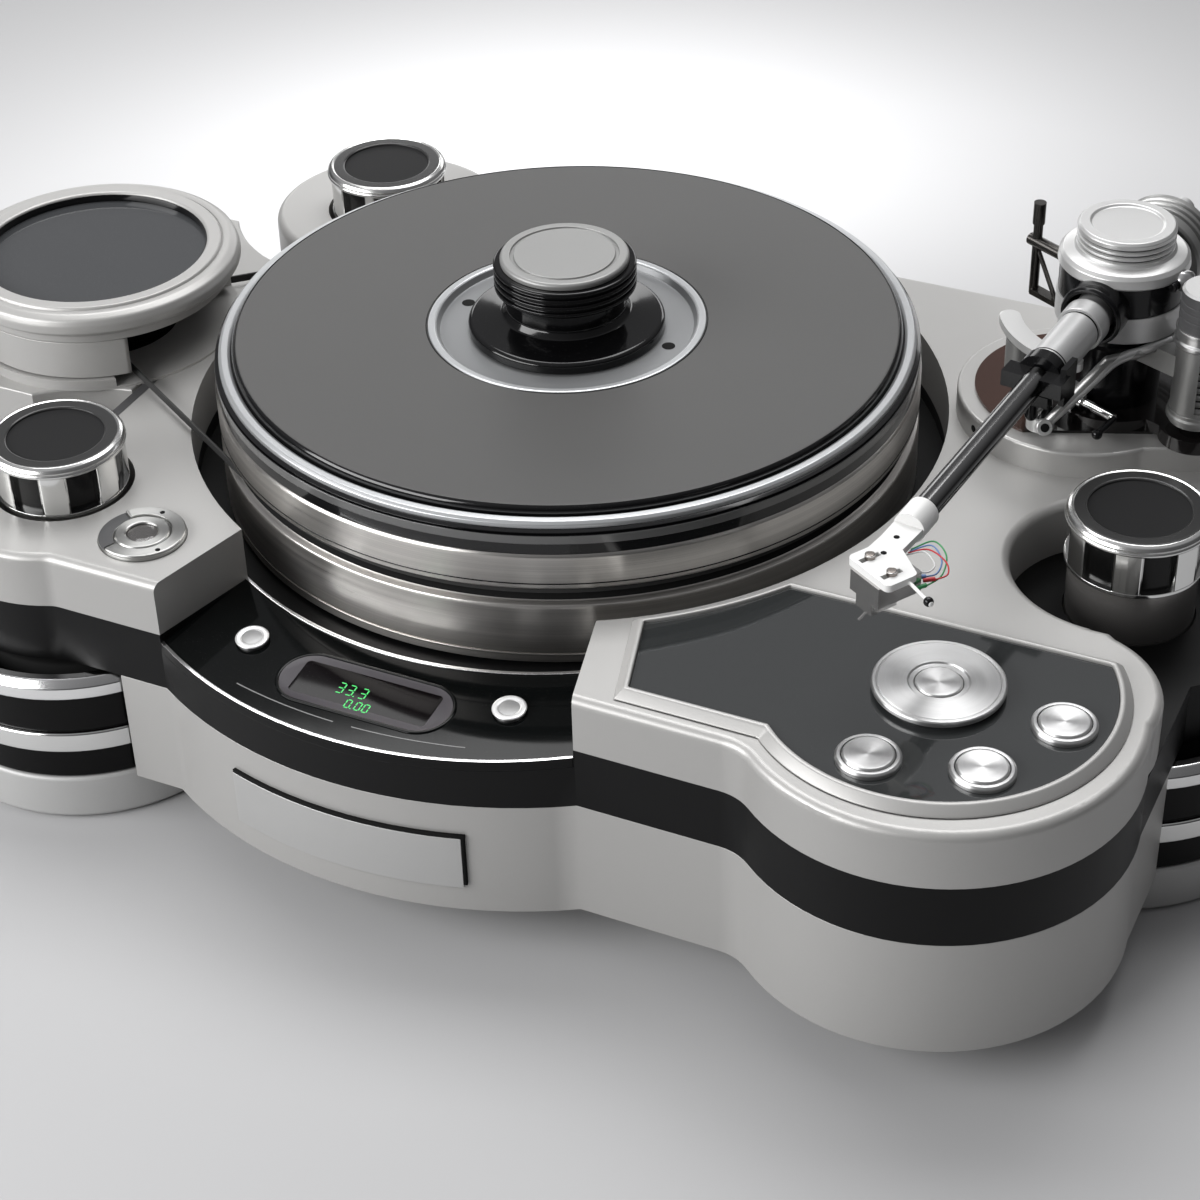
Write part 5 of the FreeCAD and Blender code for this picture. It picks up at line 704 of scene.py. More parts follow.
@dataclass
class Turning:
    """A turned piece: a closed profile spun about an axis, all the way or part of it."""

    name: str
    profile: Profile
    centre: tuple[float, float, float] = (0.0, 0.0, 0.0)
    axis: tuple[float, float, float] = (0.0, 0.0, 1.0)
    ease: float = 0.4
    segments: int = 160
    start: float = 0.0
    sweep: float = 360.0

    def mesh(self) -> bpy.types.Mesh:
        """Spin the profile.

        Returns:
            The mesh, in the model's metres.
        """
        outline = eased(self.profile, self.ease)
        whole = self.sweep > 359.9
        steps = self.segments if whole else max(2, round(self.segments * self.sweep / 360))
        made = bmesh.new()
        stand = on_axis(place(*self.centre), Vector(self.axis))
        rings = []
        for step in range(steps if whole else steps + 1):
            angle = math.radians(self.start + self.sweep * step / steps)
            rings.append([made.verts.new(stand @ (Vector((r * math.cos(angle), r * math.sin(angle), z)) / 1000))
                          for r, z in outline])
        count = len(outline)
        for index in range(steps):
            first, second = rings[index], rings[(index + 1) % len(rings)]
            for corner in range(count):
                after = (corner + 1) % count
                loop = [first[corner], first[after], second[after], second[corner]]
                if outline[corner][0] < 1e-4 and outline[after][0] < 1e-4:
                    continue
                if outline[corner][0] < 1e-4:
                    loop = [first[corner], first[after], second[after]]
                elif outline[after][0] < 1e-4:
                    loop = [first[corner], first[after], second[corner]]
                made.faces.new(loop)
        if not whole:
            made.faces.new(rings[0])
            made.faces.new(rings[-1])
        return tidy_mesh(self.name, made)


def skin(name: str, loops: Sequence[Sequence[Vector]], cap: bool = False) -> bpy.types.Mesh:
    """A surface between closed loops of equal length.

    Args:
        name: the mesh's name.
        loops: the loops, in the model's metres.
        cap: whether the last loop is filled.

    Returns:
        The mesh.
    """
    made = bmesh.new()
    rings = [[made.verts.new(point) for point in loop] for loop in loops]
    count = len(rings[0])
    for first, second in zip(rings, rings[1:]):
        for index in range(count):
            after = (index + 1) % count
            made.faces.new([first[index], first[after], second[after], second[index]])
    if cap:
        made.faces.new(rings[-1])
    return tidy_mesh(name, made)


def swept_tube(name: str, points: Sequence[Sequence[float]], radius: float, sides: int = 20,
               steps: int = 8) -> bpy.types.Mesh:
    """A round rod or wire through points, with rounded bends.

    Args:
        name: the mesh's name.
        points: its knots, in millimetres from the platter's axis.
        radius: its radius in millimetres.
        sides: how many sides its section has.
        steps: how many lengths lie between two knots.

    Returns:
        The mesh.
    """
    knots = [Vector(point) for point in points]
    knots = [knots[0] * 2 - knots[1], *knots, knots[-1] * 2 - knots[-2]]
    path: list[Vector] = []
    for index in range(1, len(knots) - 2):
        a, b, c, e = knots[index - 1:index + 3]
        for step in range(steps):
            t = step / steps
            path.append(0.5 * (2 * b + (c - a) * t + (2 * a - 5 * b + 4 * c - e) * t * t
                               + (3 * b - a - 3 * c + e) * t ** 3))
    path.append(knots[-2])
    made = bmesh.new()
    side = (path[1] - path[0]).orthogonal().normalized()
    rings = []
    for index, point in enumerate(path):
        along = (path[min(index + 1, len(path) - 1)] - path[max(index - 1, 0)]).normalized()
        side = (side - along * side.dot(along)).normalized()
        other = along.cross(side)
        rings.append([made.verts.new(place(*(point + radius * (
            math.cos(math.tau * k / sides) * side + math.sin(math.tau * k / sides) * other))))
            for k in range(sides)])
    for first, second in zip(rings, rings[1:]):
        for k in range(sides):
            after = (k + 1) % sides
            made.faces.new([first[k], first[after], second[after], second[k]])
    made.faces.new(rings[0])
    made.faces.new(rings[-1])
    return tidy_mesh(name, made)


def block(name: str, middle: Sequence[float], size: Sequence[float], turn: float = 0.0) -> bpy.types.Mesh:
    """A small plain block.

    Args:
        name: the mesh's name.
        middle: its middle, in millimetres from the platter's axis.
        size: its length, width and height in millimetres.
        turn: how far it is turned about the upright, in degrees.

    Returns:
        The mesh.
    """
    made = bmesh.new()
    bmesh.ops.create_cube(made, size=1.0)
    stand = Matrix.Translation(place(*middle)) @ Matrix.Rotation(math.radians(turn), 4, "Z")
    bmesh.ops.transform(made, matrix=stand @ Matrix.Diagonal((*(Vector(size) / 1000), 1.0)), verts=made.verts)
    bmesh.ops.bevel(made, geom=made.edges[:], offset=min(size) / 8000, segments=2, affect="EDGES")
    return tidy_mesh(name, made)


def flatten_shading(item: bpy.types.Object) -> bpy.types.Object:
    """Keep flat faces flat beside small curves.

    Args:
        item: the object.

    Returns:
        The same object.
    """
    weighted = item.modifiers.new("flat_faces", "WEIGHTED_NORMAL")
    weighted.mode = "FACE_AREA"
    weighted.weight = 90
    return item


class Maker:
    """Base of each sub-assembly: it holds the workshop."""

    def __init__(self, shop: Workshop) -> None:
        """Keep the workshop."""
        self.shop = shop

    def turn(self, name: str, profile: Profile, finish: Finish, body: str, stands_for: Iterable[str] = (),
             **how: object) -> bpy.types.Object:
        """Make a turned piece.

        Args:
            name: the piece's name.
            profile: its (radius, height) corners.
            finish: its finish.
            body: the body it rides on.
            stands_for: the nodes it replaces.
            **how: more of Turning's fields.

        Returns:
            The object.
        """
        mesh = Turning(name, profile, **how).mesh()
        return flatten_shading(self.shop.piece(name, mesh, finish, body, stands_for))


@dataclass
class PlatterSizes:
    """The platter's stack, in millimetres."""

    radius: float = 155.0
    low: float = 103.7
    rim_low: float = 152.8
    mat_top: float = 169.9


class Platter(Maker):
    """Two turned discs, a black rim, a bright ring, the mat, the centre plate and the spindle."""

    sizes = PlatterSizes()

    def build(self) -> None:
        """Make every layer."""
        fine = {"segments": 256}
        self.turn("lower_disc", [(9, 103.7), (154, 103.7), (155, 104.7), (155, 127.0), (154.7, 127.9),
                                 (152.3, 128.9), (151.6, 129.5), (150, 131.1), (9, 131.1)],
                  BRUSHED, "platter", ["lower_platter"], **fine)
        self.turn("upper_disc", [(9, 131.1), (150, 131.1), (150, 136.3), (154.4, 136.3), (155, 136.9),
                                 (155, 151.6), (154.2, 152.8), (9, 152.8)],
                  BRUSHED, "platter", ["upper_platter"], **fine)
        self.turn("lower_lip", [(149, 99.4), (154.2, 99.4), (154.9, 100.1), (154.9, 103.9), (149, 103.9)],
                  BRUSHED, "platter", ease=0.3, **fine)
        self.turn("belt_groove_shade", [(149.2, 130.2), (151.0, 129.7), (152.0, 129.35), (152.05, 129.55),
                                        (150.2, 131.4), (150.15, 136.2), (149.2, 136.2)],
                  BLACK_MARKS_AND_SHADE, "platter", ease=0, **fine)
        # Painted shade: a thin black ring standing for a fine groove round the upper disc.
        self.turn("upper_disc_groove_shade", [(154.6, 138.7), (155.05, 138.7), (155.05, 139.3), (154.6, 139.3)],
                  RIM_BLACK_AND_SHADE, "platter", ease=0, **fine)
        # Painted shade: a black ring over the mat's outer side and edge, where it meets the bright ring.
        self.turn("mat_edge_shade", [(144.6, 165.4), (146.3, 165.4), (146.3, 168.4), (144.8, 170.0), (144.4, 169.7)],
                  RIM_BLACK_AND_SHADE, "platter", ease=0, **fine)
        rim = [(9, 152.8), (154.2, 152.8), (154.2, 158.05), (152.8, 158.05), (152.8, 159.25), (154.2, 159.25),
               (154.2, 161.8), (152.8, 161.8), (152.8, 163.0), (154.2, 163.0), (152.4, 163.9), (147, 163.9),
               (147, 165.3), (9, 165.3)]
        self.turn("rim_disc", rim, RIM_BLACK_AND_SHADE, "platter", ["platter_rim"], ease=0.3, **fine)
        self.turn("rim_grey_band", [(152.6, 157.6), (154.25, 157.6), (154.35, 158.0), (154.35, 161.2),
                                    (154.25, 161.6), (152.6, 161.6)], RIM_GREY, "platter", ease=0.2, **fine)
        self.turn("bright_ring", [(147, 163.7), (152.3, 163.7), (152.3, 165.6), (151.0, 166.7), (148.4, 166.9),
                                  (147, 165.9)], RING_BRIGHT, "platter", ["platter_ring"], ease=0.35, **fine)
        self.turn("record_mat", [(61.1, 165.3), (146, 165.3), (146, 168.3), (144.4, 169.9), (61.1, 169.9)],
                  MAT_GREY, "platter", ["platter_mat"], ease=0.8, **fine)
        self.turn("centre_dish", [(9, 165.3), (61, 165.3), (61, 169.3), (60.2, 169.9), (57.1, 169.9),
                                  (55.5, 167.3), (9, 167.3)], DISH_BRIGHT, "platter", ["centre_plate"], **fine)
        self.turn("dish_rim", [(57.6, 169.5), (60.9, 169.5), (60.8, 170.0), (60.2, 170.2), (58.2, 170.2),
                               (57.6, 169.9)], RING_BRIGHT, "platter", ease=0.15, **fine)
        # Painted shade: a black ring on the inner wall of the mat's hole.
        self.turn("mat_inner_edge_shade", [(60.95, 168.0), (61.75, 168.0), (61.75, 169.96), (60.95, 169.9)], RIM_BLACK_AND_SHADE,
                  "platter", ease=0, **fine)
        # Painted shade: two black discs standing for the dish's holes.
        for side in (-1, 1):
            self.turn(f"dish_hole_shade_{side + 1}", [(0, 167.25), (2.9, 167.25), (2.9, 167.42), (0, 167.42)],
                      BLACK_MARKS_AND_SHADE, "platter", centre=(side * 48.5, 0, 0), ease=0, segments=32)
        self.shop.keep("spindle", CHROME, 0.0)


class RecordClamp(Maker):
    """The black grooved clamp with its silver top."""

    def build(self) -> None:
        """Make the body and the top."""
        profile = [(3.7, 167.6), (43, 167.6), (43, 171.4), (41.6, 172.6), (33.5, 173.9), (28.2, 175.4),
                   (26, 178.2), (26, 185.8), (27.4, 187.2), (31, 188.1)]
        for index in (1, 2, 3):
            groove = 186.6 + 3.25 * index
            profile += [(31, groove), (29.4, groove), (29.4, groove + 1.3), (31, groove + 1.3)]
        profile += [(31, 199.0), (30.2, 199.6), (3.7, 199.6)]
        self.turn("clamp_grip", profile, CLAMP_BLACK, "record_clamp", ["clamp_body"], ease=0.7)
        self.turn("clamp_disc", [(0, 199.6), (28, 199.6), (28, 201.6), (27, 202.6), (23.6, 202.6), (23.6, 201.7),
                                 (22, 201.7), (22, 202.6), (0, 202.6)], CLAMP_SILVER, "record_clamp",
                  ["clamp_top"], ease=0.5)


class Towers(Maker):
    """The three air towers: foot stack, polished column and turning cap."""

    places = {"front_left": (-171.5, -145.5), "rear_left": (-161.0, 128.0), "right": (264.0, -22.0)}
    cap_turns = {"front_left": 16.9, "rear_left": 5.0, "right": -4.7}

    def build(self) -> None:
        """Make each tower."""
        for tower, (x, y) in self.places.items():
            self.foot(tower, x, y)
            self.cap(tower, x, y)

    def foot(self, tower: str, x: float, y: float) -> None:
        """Make the fixed stack under one cap.

        Args:
            tower: the tower's name.
            x: its axis.
            y: its axis.
        """
        where = {"centre": (x, y, 0.0)}
        self.turn(f"foot_base_{tower}", [(0, 0), (68.5, 0), (71, 2.5), (71, 21.8), (70, 23), (0, 23)], FOOT_GREY,
                  "chassis", ["foot_bases"], ease=1.0, **where)
        self.turn(f"foot_drum_{tower}", [(0, 23), (69, 23), (70, 24), (70, 38), (68, 38), (68, 48), (70, 48),
                                         (70, 66), (54, 66), (54, 54), (26.5, 54), (26.5, 48), (0, 48)],
                  HOUSING_BLACK, "chassis", ["foot_housings"], ease=0.5, **where)
        self.turn(f"foot_band_{tower}", [(68, 38), (71.2, 38), (71.8, 38.8), (71.8, 47.2), (71.2, 48), (68, 48)],
                  CHROME, "chassis", ["foot_rings"], ease=0.3, **where)
        self.turn(f"foot_collar_{tower}", [(64, 66), (71, 66), (71, 71.5), (68, 75), (64, 75)], TRIM_BRIGHT,
                  "chassis", ease=0.6, **where)
        self.turn(f"air_bellows_{tower}", [(33, 54), (50, 54), (48.6, 57), (50, 60), (48.6, 65), (47.6, 68),
                                           (49, 72), (50, 77), (33, 77)], RUBBER, "chassis", ["air_springs"],
                  ease=1.2, **where)
        self.turn(f"column_{tower}", [(0, 48), (26.5, 48), (26.5, 128.6), (25.8, 129), (0, 129)],
                  COLUMN, "chassis", ["suspension_columns"], **where)

    def cap(self, tower: str, x: float, y: float) -> None:
        """Make one turning cap.

        Args:
            tower: the tower's name.
            x: its axis.
            y: its axis.
        """
        body, node = f"{tower}_cap", f"cap_{tower}"
        where = {"centre": (x, y, 0.0)}
        self.turn(f"cap_core_{tower}", [(0, 129.4), (26.0, 129.4), (26.0, 149.8), (0, 149.8)], CAP_WINDOW, body,
                  [node], ease=0.3, **where)
        self.turn(f"cap_ledge_{tower}", [(25.6, 129.4), (28.3, 129.4), (28.5, 129.7), (28.5, 131.2),
                                         (25.6, 131.4)], CHROME, body, ease=0.2, **where)
        start = self.cap_turns[tower] + 180 / 7 - 11.9
        for index in range(7):
            self.turn(f"cap_plate_{tower}_{index}", [(25.4, 131.0), (28.45, 131.0), (28.45, 149.9), (25.4, 149.9)],
                      CHROME, body, ease=0.35, start=360 / 7 * index + start, sweep=23.8, **where)
        self.turn(f"cap_rim_{tower}", [(26.0, 149.4), (28.9, 149.4), (29.5, 150.0), (29.5, 151.0), (29.0, 151.5),
                                       (29.0, 151.9), (29.2, 152.3), (28.3, 153.6), (27.0, 154.4), (26.0, 154.0)],
                  RIM_CHROME, body, ease=0.3, **where)
        self.turn(f"cap_lip_{tower}", [(20.6, 152.0), (26.4, 152.0), (26.4, 154.0), (26.0, 154.2), (21.4, 154.2),
                                       (20.7, 153.8)], CAP_GLOSS, body, ease=0.25, **where)
        self.turn(f"cap_disc_{tower}", [(0, 149.5), (20.8, 149.5), (20.8, 153.1), (0, 153.1)], CAP_INSERT, body,
                  ease=0.1, **where)


class Chassis(Maker):
    """The three layers, the plates, the rear deck and the bare plate on the front."""

    def build(self) -> None:
        """Dress the layers."""
        for node in ("lower_body", "top_plate_left", "top_plate_right", "rear_deck"):
            self.shop.keep(node, CHASSIS_SILVER, 0.5)
        self.shop.keep("middle_band", BAND_BLACK, 0.4)
        self.shop.keep("name_plate", PLATE_GREY, 0.3)
        bulge = {"centre": (0.0, -37.0, 0.0), "ease": 0}
        # Painted shadow: black strips along the name plate's top and right edge, in the gap behind it.
        self.turn("plate_gap_shade_top", [(184.8, 60.8), (186.45, 60.8), (186.45, 62.5), (184.8, 62.5)], BLACK_MARKS_AND_SHADE,
                  "chassis", start=-106.3, sweep=33.2, **bulge)
        self.turn("plate_gap_shade_side", [(184.8, 36.5), (186.3, 36.5), (186.3, 61.5), (184.8, 61.5)], BLACK_MARKS_AND_SHADE,
                  "chassis", start=-73.75, sweep=0.6, **bulge)
        # The bearing parts wear turned metal darkened as painted shade under the platter.
        self.shop.keep("air_bearing_plate", BEARING_IN_SHADE, 0.2)
        self.shop.keep("bearing_housing", BEARING_IN_SHADE, 0.2)


class Display(Maker):
    """The sloping panel with its window, digits, trims and two round keys."""

    slope = math.radians(5.2)
    key_spot = (59.0, -181.0)
    key_proud = 1.8
    rear_y = -108.0
    rear_z = 103.5 + 60 * math.tan(math.radians(5.2))

    def surface(self, x: float, y: float, lift: float = 0.0) -> Vector:
        """A point on the panel's top, or a little over it.

        Args:
            x: across, in millimetres from the platter's axis.
            y: towards the back.
            lift: height over the panel.

        Returns:
            The point in the model's metres.
        """
        fall = (self.rear_y - y) * math.tan(self.slope)
        return place(x, y, self.rear_z - fall + lift)

    def build(self) -> None:
        """Dress the panel and set the digits in its window."""
        self.shop.keep("display_panel", PANEL_BLACK, 0.25)
        trims = self.shop.keep("display_trims", TRIM_BRIGHT, 0.2)
        zone(trims, BAND_BLACK, lambda p: p.y < -100 and (p.xy - Vector((0, -37))).length > 184.8)
        self.shop.keep("display_window", LENS_BLACK, 0.2)
        self.shop.keep("pitch_low_button", BUTTON_SILVER, 0.4)
        self.shop.keep("pitch_high_button", BUTTON_SILVER, 0.4)
        for side, name in ((-1, "pitch_low"), (1, "pitch_high")):
            self.key_face(side, name)
        self.bezel()
        self.printed_line()
        self.digits("upper_row", "33.3", -12.0, -193.2, 5.6)
        self.digits("lower_row", "0.00", -4.5, -200.4, 4.4)

    def outline(self, half_length: float, half_depth: float, lift: float, corner: float) -> list[Vector]:
        """A rounded outline round the window's middle, on the panel."""
        corner = min(corner, half_length, half_depth)
        points = []
        for index in range(64):
            angle = math.tau * (index + 0.5) / 64
            across = math.copysign(half_length - corner, math.cos(angle)) + corner * math.cos(angle)
            up = math.copysign(half_depth - corner, math.sin(angle)) + corner * math.sin(angle)
            points.append(self.surface(across, -192.4 + up, lift))
        return points

    def key_face(self, side: int, name: str) -> None:
        """The bright ring and the grey middle of one pitch key."""
        x, y = side * self.key_spot[0], self.key_spot[1]
        fall = (self.rear_y - y) * math.tan(self.slope)
        where = {"centre": (x, y, self.rear_z - fall), "axis": (0.0, -math.sin(self.slope), math.cos(self.slope)),
                 "segments": 64}
        high = self.key_proud
        self.turn(f"{name}_ring", [(4.3, high - 0.3), (6.9, high - 0.3), (7.1, high - 0.1), (6.8, high + 0.3),
                                   (6.2, high + 0.45), (5.0, high + 0.4), (4.3, high + 0.15)], KEY_RING, name, ease=0.1, **where)
        self.turn(f"{name}_middle", [(0, high - 0.2), (4.4, high - 0.2), (4.4, high + 0.08), (0, high + 0.08)],
                  KEY_FACE, name, ease=0, **where)

    def bezel(self) -> None:
        """The oval frame, its sloping grey inside and the dark lens in it."""
        frame = [self.outline(*size) for size in ((39.6, 14.6, -0.3, 14.6), (39.6, 14.6, 0.35, 14.6),
                                                  (39.1, 14.1, 0.6, 14.1), (38.4, 13.4, 0.6, 13.4),
                                                  (38.0, 13.0, 0.3, 13.0))]
        flatten_shading(self.shop.piece("window_frame", skin("window_frame", frame), PANEL_BLACK, "chassis"))
        inside = [self.outline(*size) for size in ((38.2, 13.2, 0.35, 13.2), (37.0, 12.0, 0.12, 12.0),
                                                   (31.0, 9.2, 0.06, 2.0))]
        flatten_shading(self.shop.piece("window_inside", skin("window_inside", inside), LENS_SHELL, "chassis"))
        lens = [self.outline(*size) for size in ((31.2, 9.4, 0.05, 2.0), (30.8, 9.0, 0.09, 1.8))]
        self.shop.piece("window_lens", skin("window_lens", lens, True), LENS_BLACK, "chassis")

    def printed_line(self) -> None:
        """The thin grey line that follows the panel's front edge."""
        made = bmesh.new()
        for low, high in ((-12.7, -1.0), (1.0, 12.7)):
            pairs = []
            for step in range(25):
                angle = math.radians(low + (high - low) * step / 24)
                pairs.append([made.verts.new(self.surface(r * math.sin(angle), 24.4 - r * math.cos(angle), 0.04))
                              for r in (235.75, 236.25)])
            for first, second in zip(pairs, pairs[1:]):
                made.faces.new([first[0], first[1], second[1], second[0]])
        self.shop.piece("printed_line", tidy_mesh("printed_line", made), PRINT_GREY, "chassis")

    def digits(self, name: str, text: str, x: float, y: float, height: float) -> None:
        """Draw plain seven-segment numbers.

        Args:
            name: the piece's name.
            text: digits and points.
            x: the left edge.
            y: the middle.
            height: the digits' height.
        """
        lit = {"3": "abgcd", "4": "fgbc", "5": "afgcd", "0": "abcdef", "1": "bc"}
        width = height * 0.5
        bars = {"a": (0, 0.5, 1), "g": (0, 0.0, 1), "d": (0, -0.5, 1), "f": (-0.5, 0.25, 0), "b": (0.5, 0.25, 0),
                "e": (-0.5, -0.25, 0), "c": (0.5, -0.25, 0)}
        made = bmesh.new()
        cursor = x
        for sign in text:
            if sign == ".":
                self.bar(made, cursor - width * 0.2, y - height * 0.5, 0.6, 0.6)
                cursor += width * 0.45
                continue
            middle = cursor + width / 2
            for key in lit[sign]:
                across, up, level = bars[key]
                long_side = width * 0.72 if level else height * 0.4
                size = (long_side, 0.55) if level else (0.55, long_side)
                self.bar(made, middle + across * width, y + up * height, *size)
            cursor += width * 1.6
        self.shop.piece(f"display_{name}", tidy_mesh(f"display_{name}", made), DIGIT_GREEN, "chassis")

    def bar(self, made: bmesh.types.BMesh, x: float, y: float, long_side: float, short_side: float) -> None:
        """Add one lit bar on the lens."""
        half_x, half_y = long_side / 2, short_side / 2
        corners = [self.surface(x + a * half_x, y + b * half_y, 0.13)
                   for a, b in ((-1, -1), (1, -1), (1, 1), (-1, 1))]
        made.faces.new([made.verts.new(corner) for corner in corners])


class Controls(Maker):
    """The control pod's bezel, dark glass, turned disc and four keys."""

    centre = (221.0, -139.0)

    def build(self) -> None:
        """Dress the glass and turn the metal pieces."""
        x, y = self.centre
        self.shop.keep("control_bezel", CHASSIS_SILVER, 0.9)
        self.shop.keep("control_glass", DECK_GLASS, 0.3)
        silver = TurnedMetal("control_disc_silver", (0.54, 0.54, 0.54), "satin_aluminium", 0.36, centre=self.centre,
                             contrast=0.07)
        where = {"centre": (x, y, 0.0)}
        self.turn("disc_plate", [(9.5, 133), (22.5, 133), (22.5, 134.6), (25.2, 134.6), (25.7, 135.1),
                                 (25.7, 136.6), (25.1, 137.2), (24.0, 137.2), (23.6, 136.9), (23.2, 137.2),
                                 (12.0, 137.2), (11.4, 136.4), (9.5, 136.4)], silver, "chassis",
                  ["control_rings"], ease=0.25, **where)
        self.turn("disc_key", [(0, 130), (9.2, 130), (9.2, 136.4), (8.6, 137.0), (6.0, 137.0), (0, 136.5)],
                  silver, "disc_key", ["disc_button"], ease=0.3, **where)
        for index, name in enumerate(("stop", "speed", "suction")):
            angle = math.radians(-101.5 + 49 * index)
            spot = (x + 50.3 * math.cos(angle), y + 50.3 * math.sin(angle))
            shine = TurnedMetal(f"{name}_key_silver", (0.55, 0.55, 0.55), "satin_aluminium", 0.34, centre=spot,
                                contrast=0.06)
            around = {"centre": (*spot, 0.0), "segments": 96}
            self.turn(f"{name}_ring", [(10.3, 133), (12.5, 133), (12.5, 134.7), (11.6, 135.6), (10.3, 135.6)],
                      shine, "chassis", ease=0.3, **around)
            self.turn(f"{name}_key", [(0, 130), (10, 130), (10, 135.4), (9.2, 136.2), (6, 136.2), (0, 135.8)],
                      shine, f"{name}_key", [f"{name}_button"], ease=0.3, **around)


class SpiritLevel(Maker):
    """The round level in the front left plate."""

    def build(self) -> None:
        """Turn the ring, its two screws and the vial."""
        spot = (-117.0, -167.5)
        where = {"centre": (*spot, 0.0), "segments": 96}
        silver = TurnedMetal("level_silver", (0.44, 0.44, 0.43), "satin_aluminium", 0.34, centre=spot, contrast=0.08)
        self.turn("level_body", [(0, 128.6), (18.4, 128.6), (18.4, 131.2), (12.2, 131.2), (12.2, 130.6),
                                 (6.6, 130.6), (6.6, 129.8), (0, 129.8)], silver, "chassis",
                  ["spirit_level"], ease=0.2, **where)
        self.turn("level_collar", [(12.6, 131.0), (18.3, 131.0), (18.3, 132.1), (17.8, 132.6), (12.6, 132.6)],
                  silver, "chassis", ease=0.25, start=-117.0, sweep=262.0, **where)
        # Painted shade: a dark grey sector in the level's recess, where the collar is open.
        self.turn("level_recess", [(12.4, 131.1), (18.2, 131.1), (18.2, 131.3), (12.4, 131.3)], DARK_GREY_AND_SHADE,
                  "chassis", ease=0, start=145.2, sweep=97.6, **where)
        self.turn("level_ring", [(6.6, 130.4), (11.9, 130.4), (11.9, 131.6), (11.0, 132.5), (7.2, 132.5),
                                 (6.6, 132.0)], silver, "chassis", ease=0.3, **where)
        self.turn("level_floor", [(0, 129.8), (6.5, 129.8), (6.5, 130.4), (0, 130.4)],
                  SatinPaint("level_floor_pink", (0.85, 0.74, 0.70), "satin_aluminium", 0.5), "chassis", ease=0,
                  **where)
        self.turn("level_glass", [(0, 130.4), (6.5, 130.4), (6.5, 131.3), (4.5, 131.8), (0, 132.0)], VIAL,
                  "chassis", ease=0.3, **where)
        for index, (x, y) in enumerate(((-116.6, -159.3 + 6.9), (-103.6, -176.4))):
            self.turn(f"level_screw_{index}", [(0, 132.0), (1.1, 132.0), (1.1, 132.68), (0, 132.68)], BLACK_MARKS_AND_SHADE,
                      "chassis", centre=(x, y, 0.0), ease=0, segments=24)


class MotorUnit(Maker):
    """The separate motor block with its covered pulley and the belt."""

    centre = (-230.5, -23.0)

    def build(self) -> None:
        """Make the cover in two parts, the glass, and dress the rest."""
        x, y = self.centre
        where = {"centre": (x, y, 0.0), "segments": 192}
        self.turn("cover_top", [(57, 153.6), (61, 153.6), (61, 157.8), (64.5, 159.6), (66.5, 161.2), (66.5, 164.6),
                                (65.2, 167.6), (62, 169.3), (59.0, 169.1), (58.6, 168.6), (58.2, 169.5),
                                (57.6, 170.1), (52.5, 170.1), (51.5, 169.3), (51.5, 162.6), (47.5, 162.6),
                                (47.5, 159.6), (57, 159.6)], CHASSIS_SILVER, "chassis", ["motor_cover"],
                  ease=0.9, **where)
        self.turn("cover_skirt", [(57, 135.6), (61, 135.6), (61, 153.7), (57, 153.7)], CHASSIS_SILVER,
                  "chassis", ease=0.4, start=44.8, sweep=270.4, **where)
        self.turn("cover_glass", [(0, 162.6), (51.5, 162.6), (51.5, 165.6), (0, 165.6)], MOTOR_GLASS,
                  "chassis", ["motor_glass"], ease=0.3, **where)
        # Painted shade: a black ring on the cover's inner wall above the glass.
        self.turn("cover_inner_wall_shade", [(51.1, 165.5), (51.6, 165.5), (51.6, 168.9), (51.1, 168.9)], RIM_BLACK_AND_SHADE,
                  "chassis", ease=0, **where)
        self.shop.keep("motor_base", CHASSIS_SILVER, 0.4)
        # Painted shadow: a flat dark strip on the plate for the gap beside the motor block.
        seam = [(-183.2, -119.0), (-178.6, -119.0), (-178.6, -22.0), (-183.2, -22.0)]
        made = bmesh.new()
        made.faces.new([made.verts.new(place(x, y, 130.04)) for x, y in seam])
        self.shop.piece("block_seam_shade", tidy_mesh("block_seam_shade", made), DARK_GREY_AND_SHADE, "chassis")
        self.shop.keep("motor_feet", RUBBER, 0.6)
        self.shop.keep("drive_motor", ARM_BLACK, 0.3)
        self.shop.keep("drive_pulley", BRUSHED, 0.1)
        self.shop.keep("drive_belt", BELT_BLACK, 0.1)


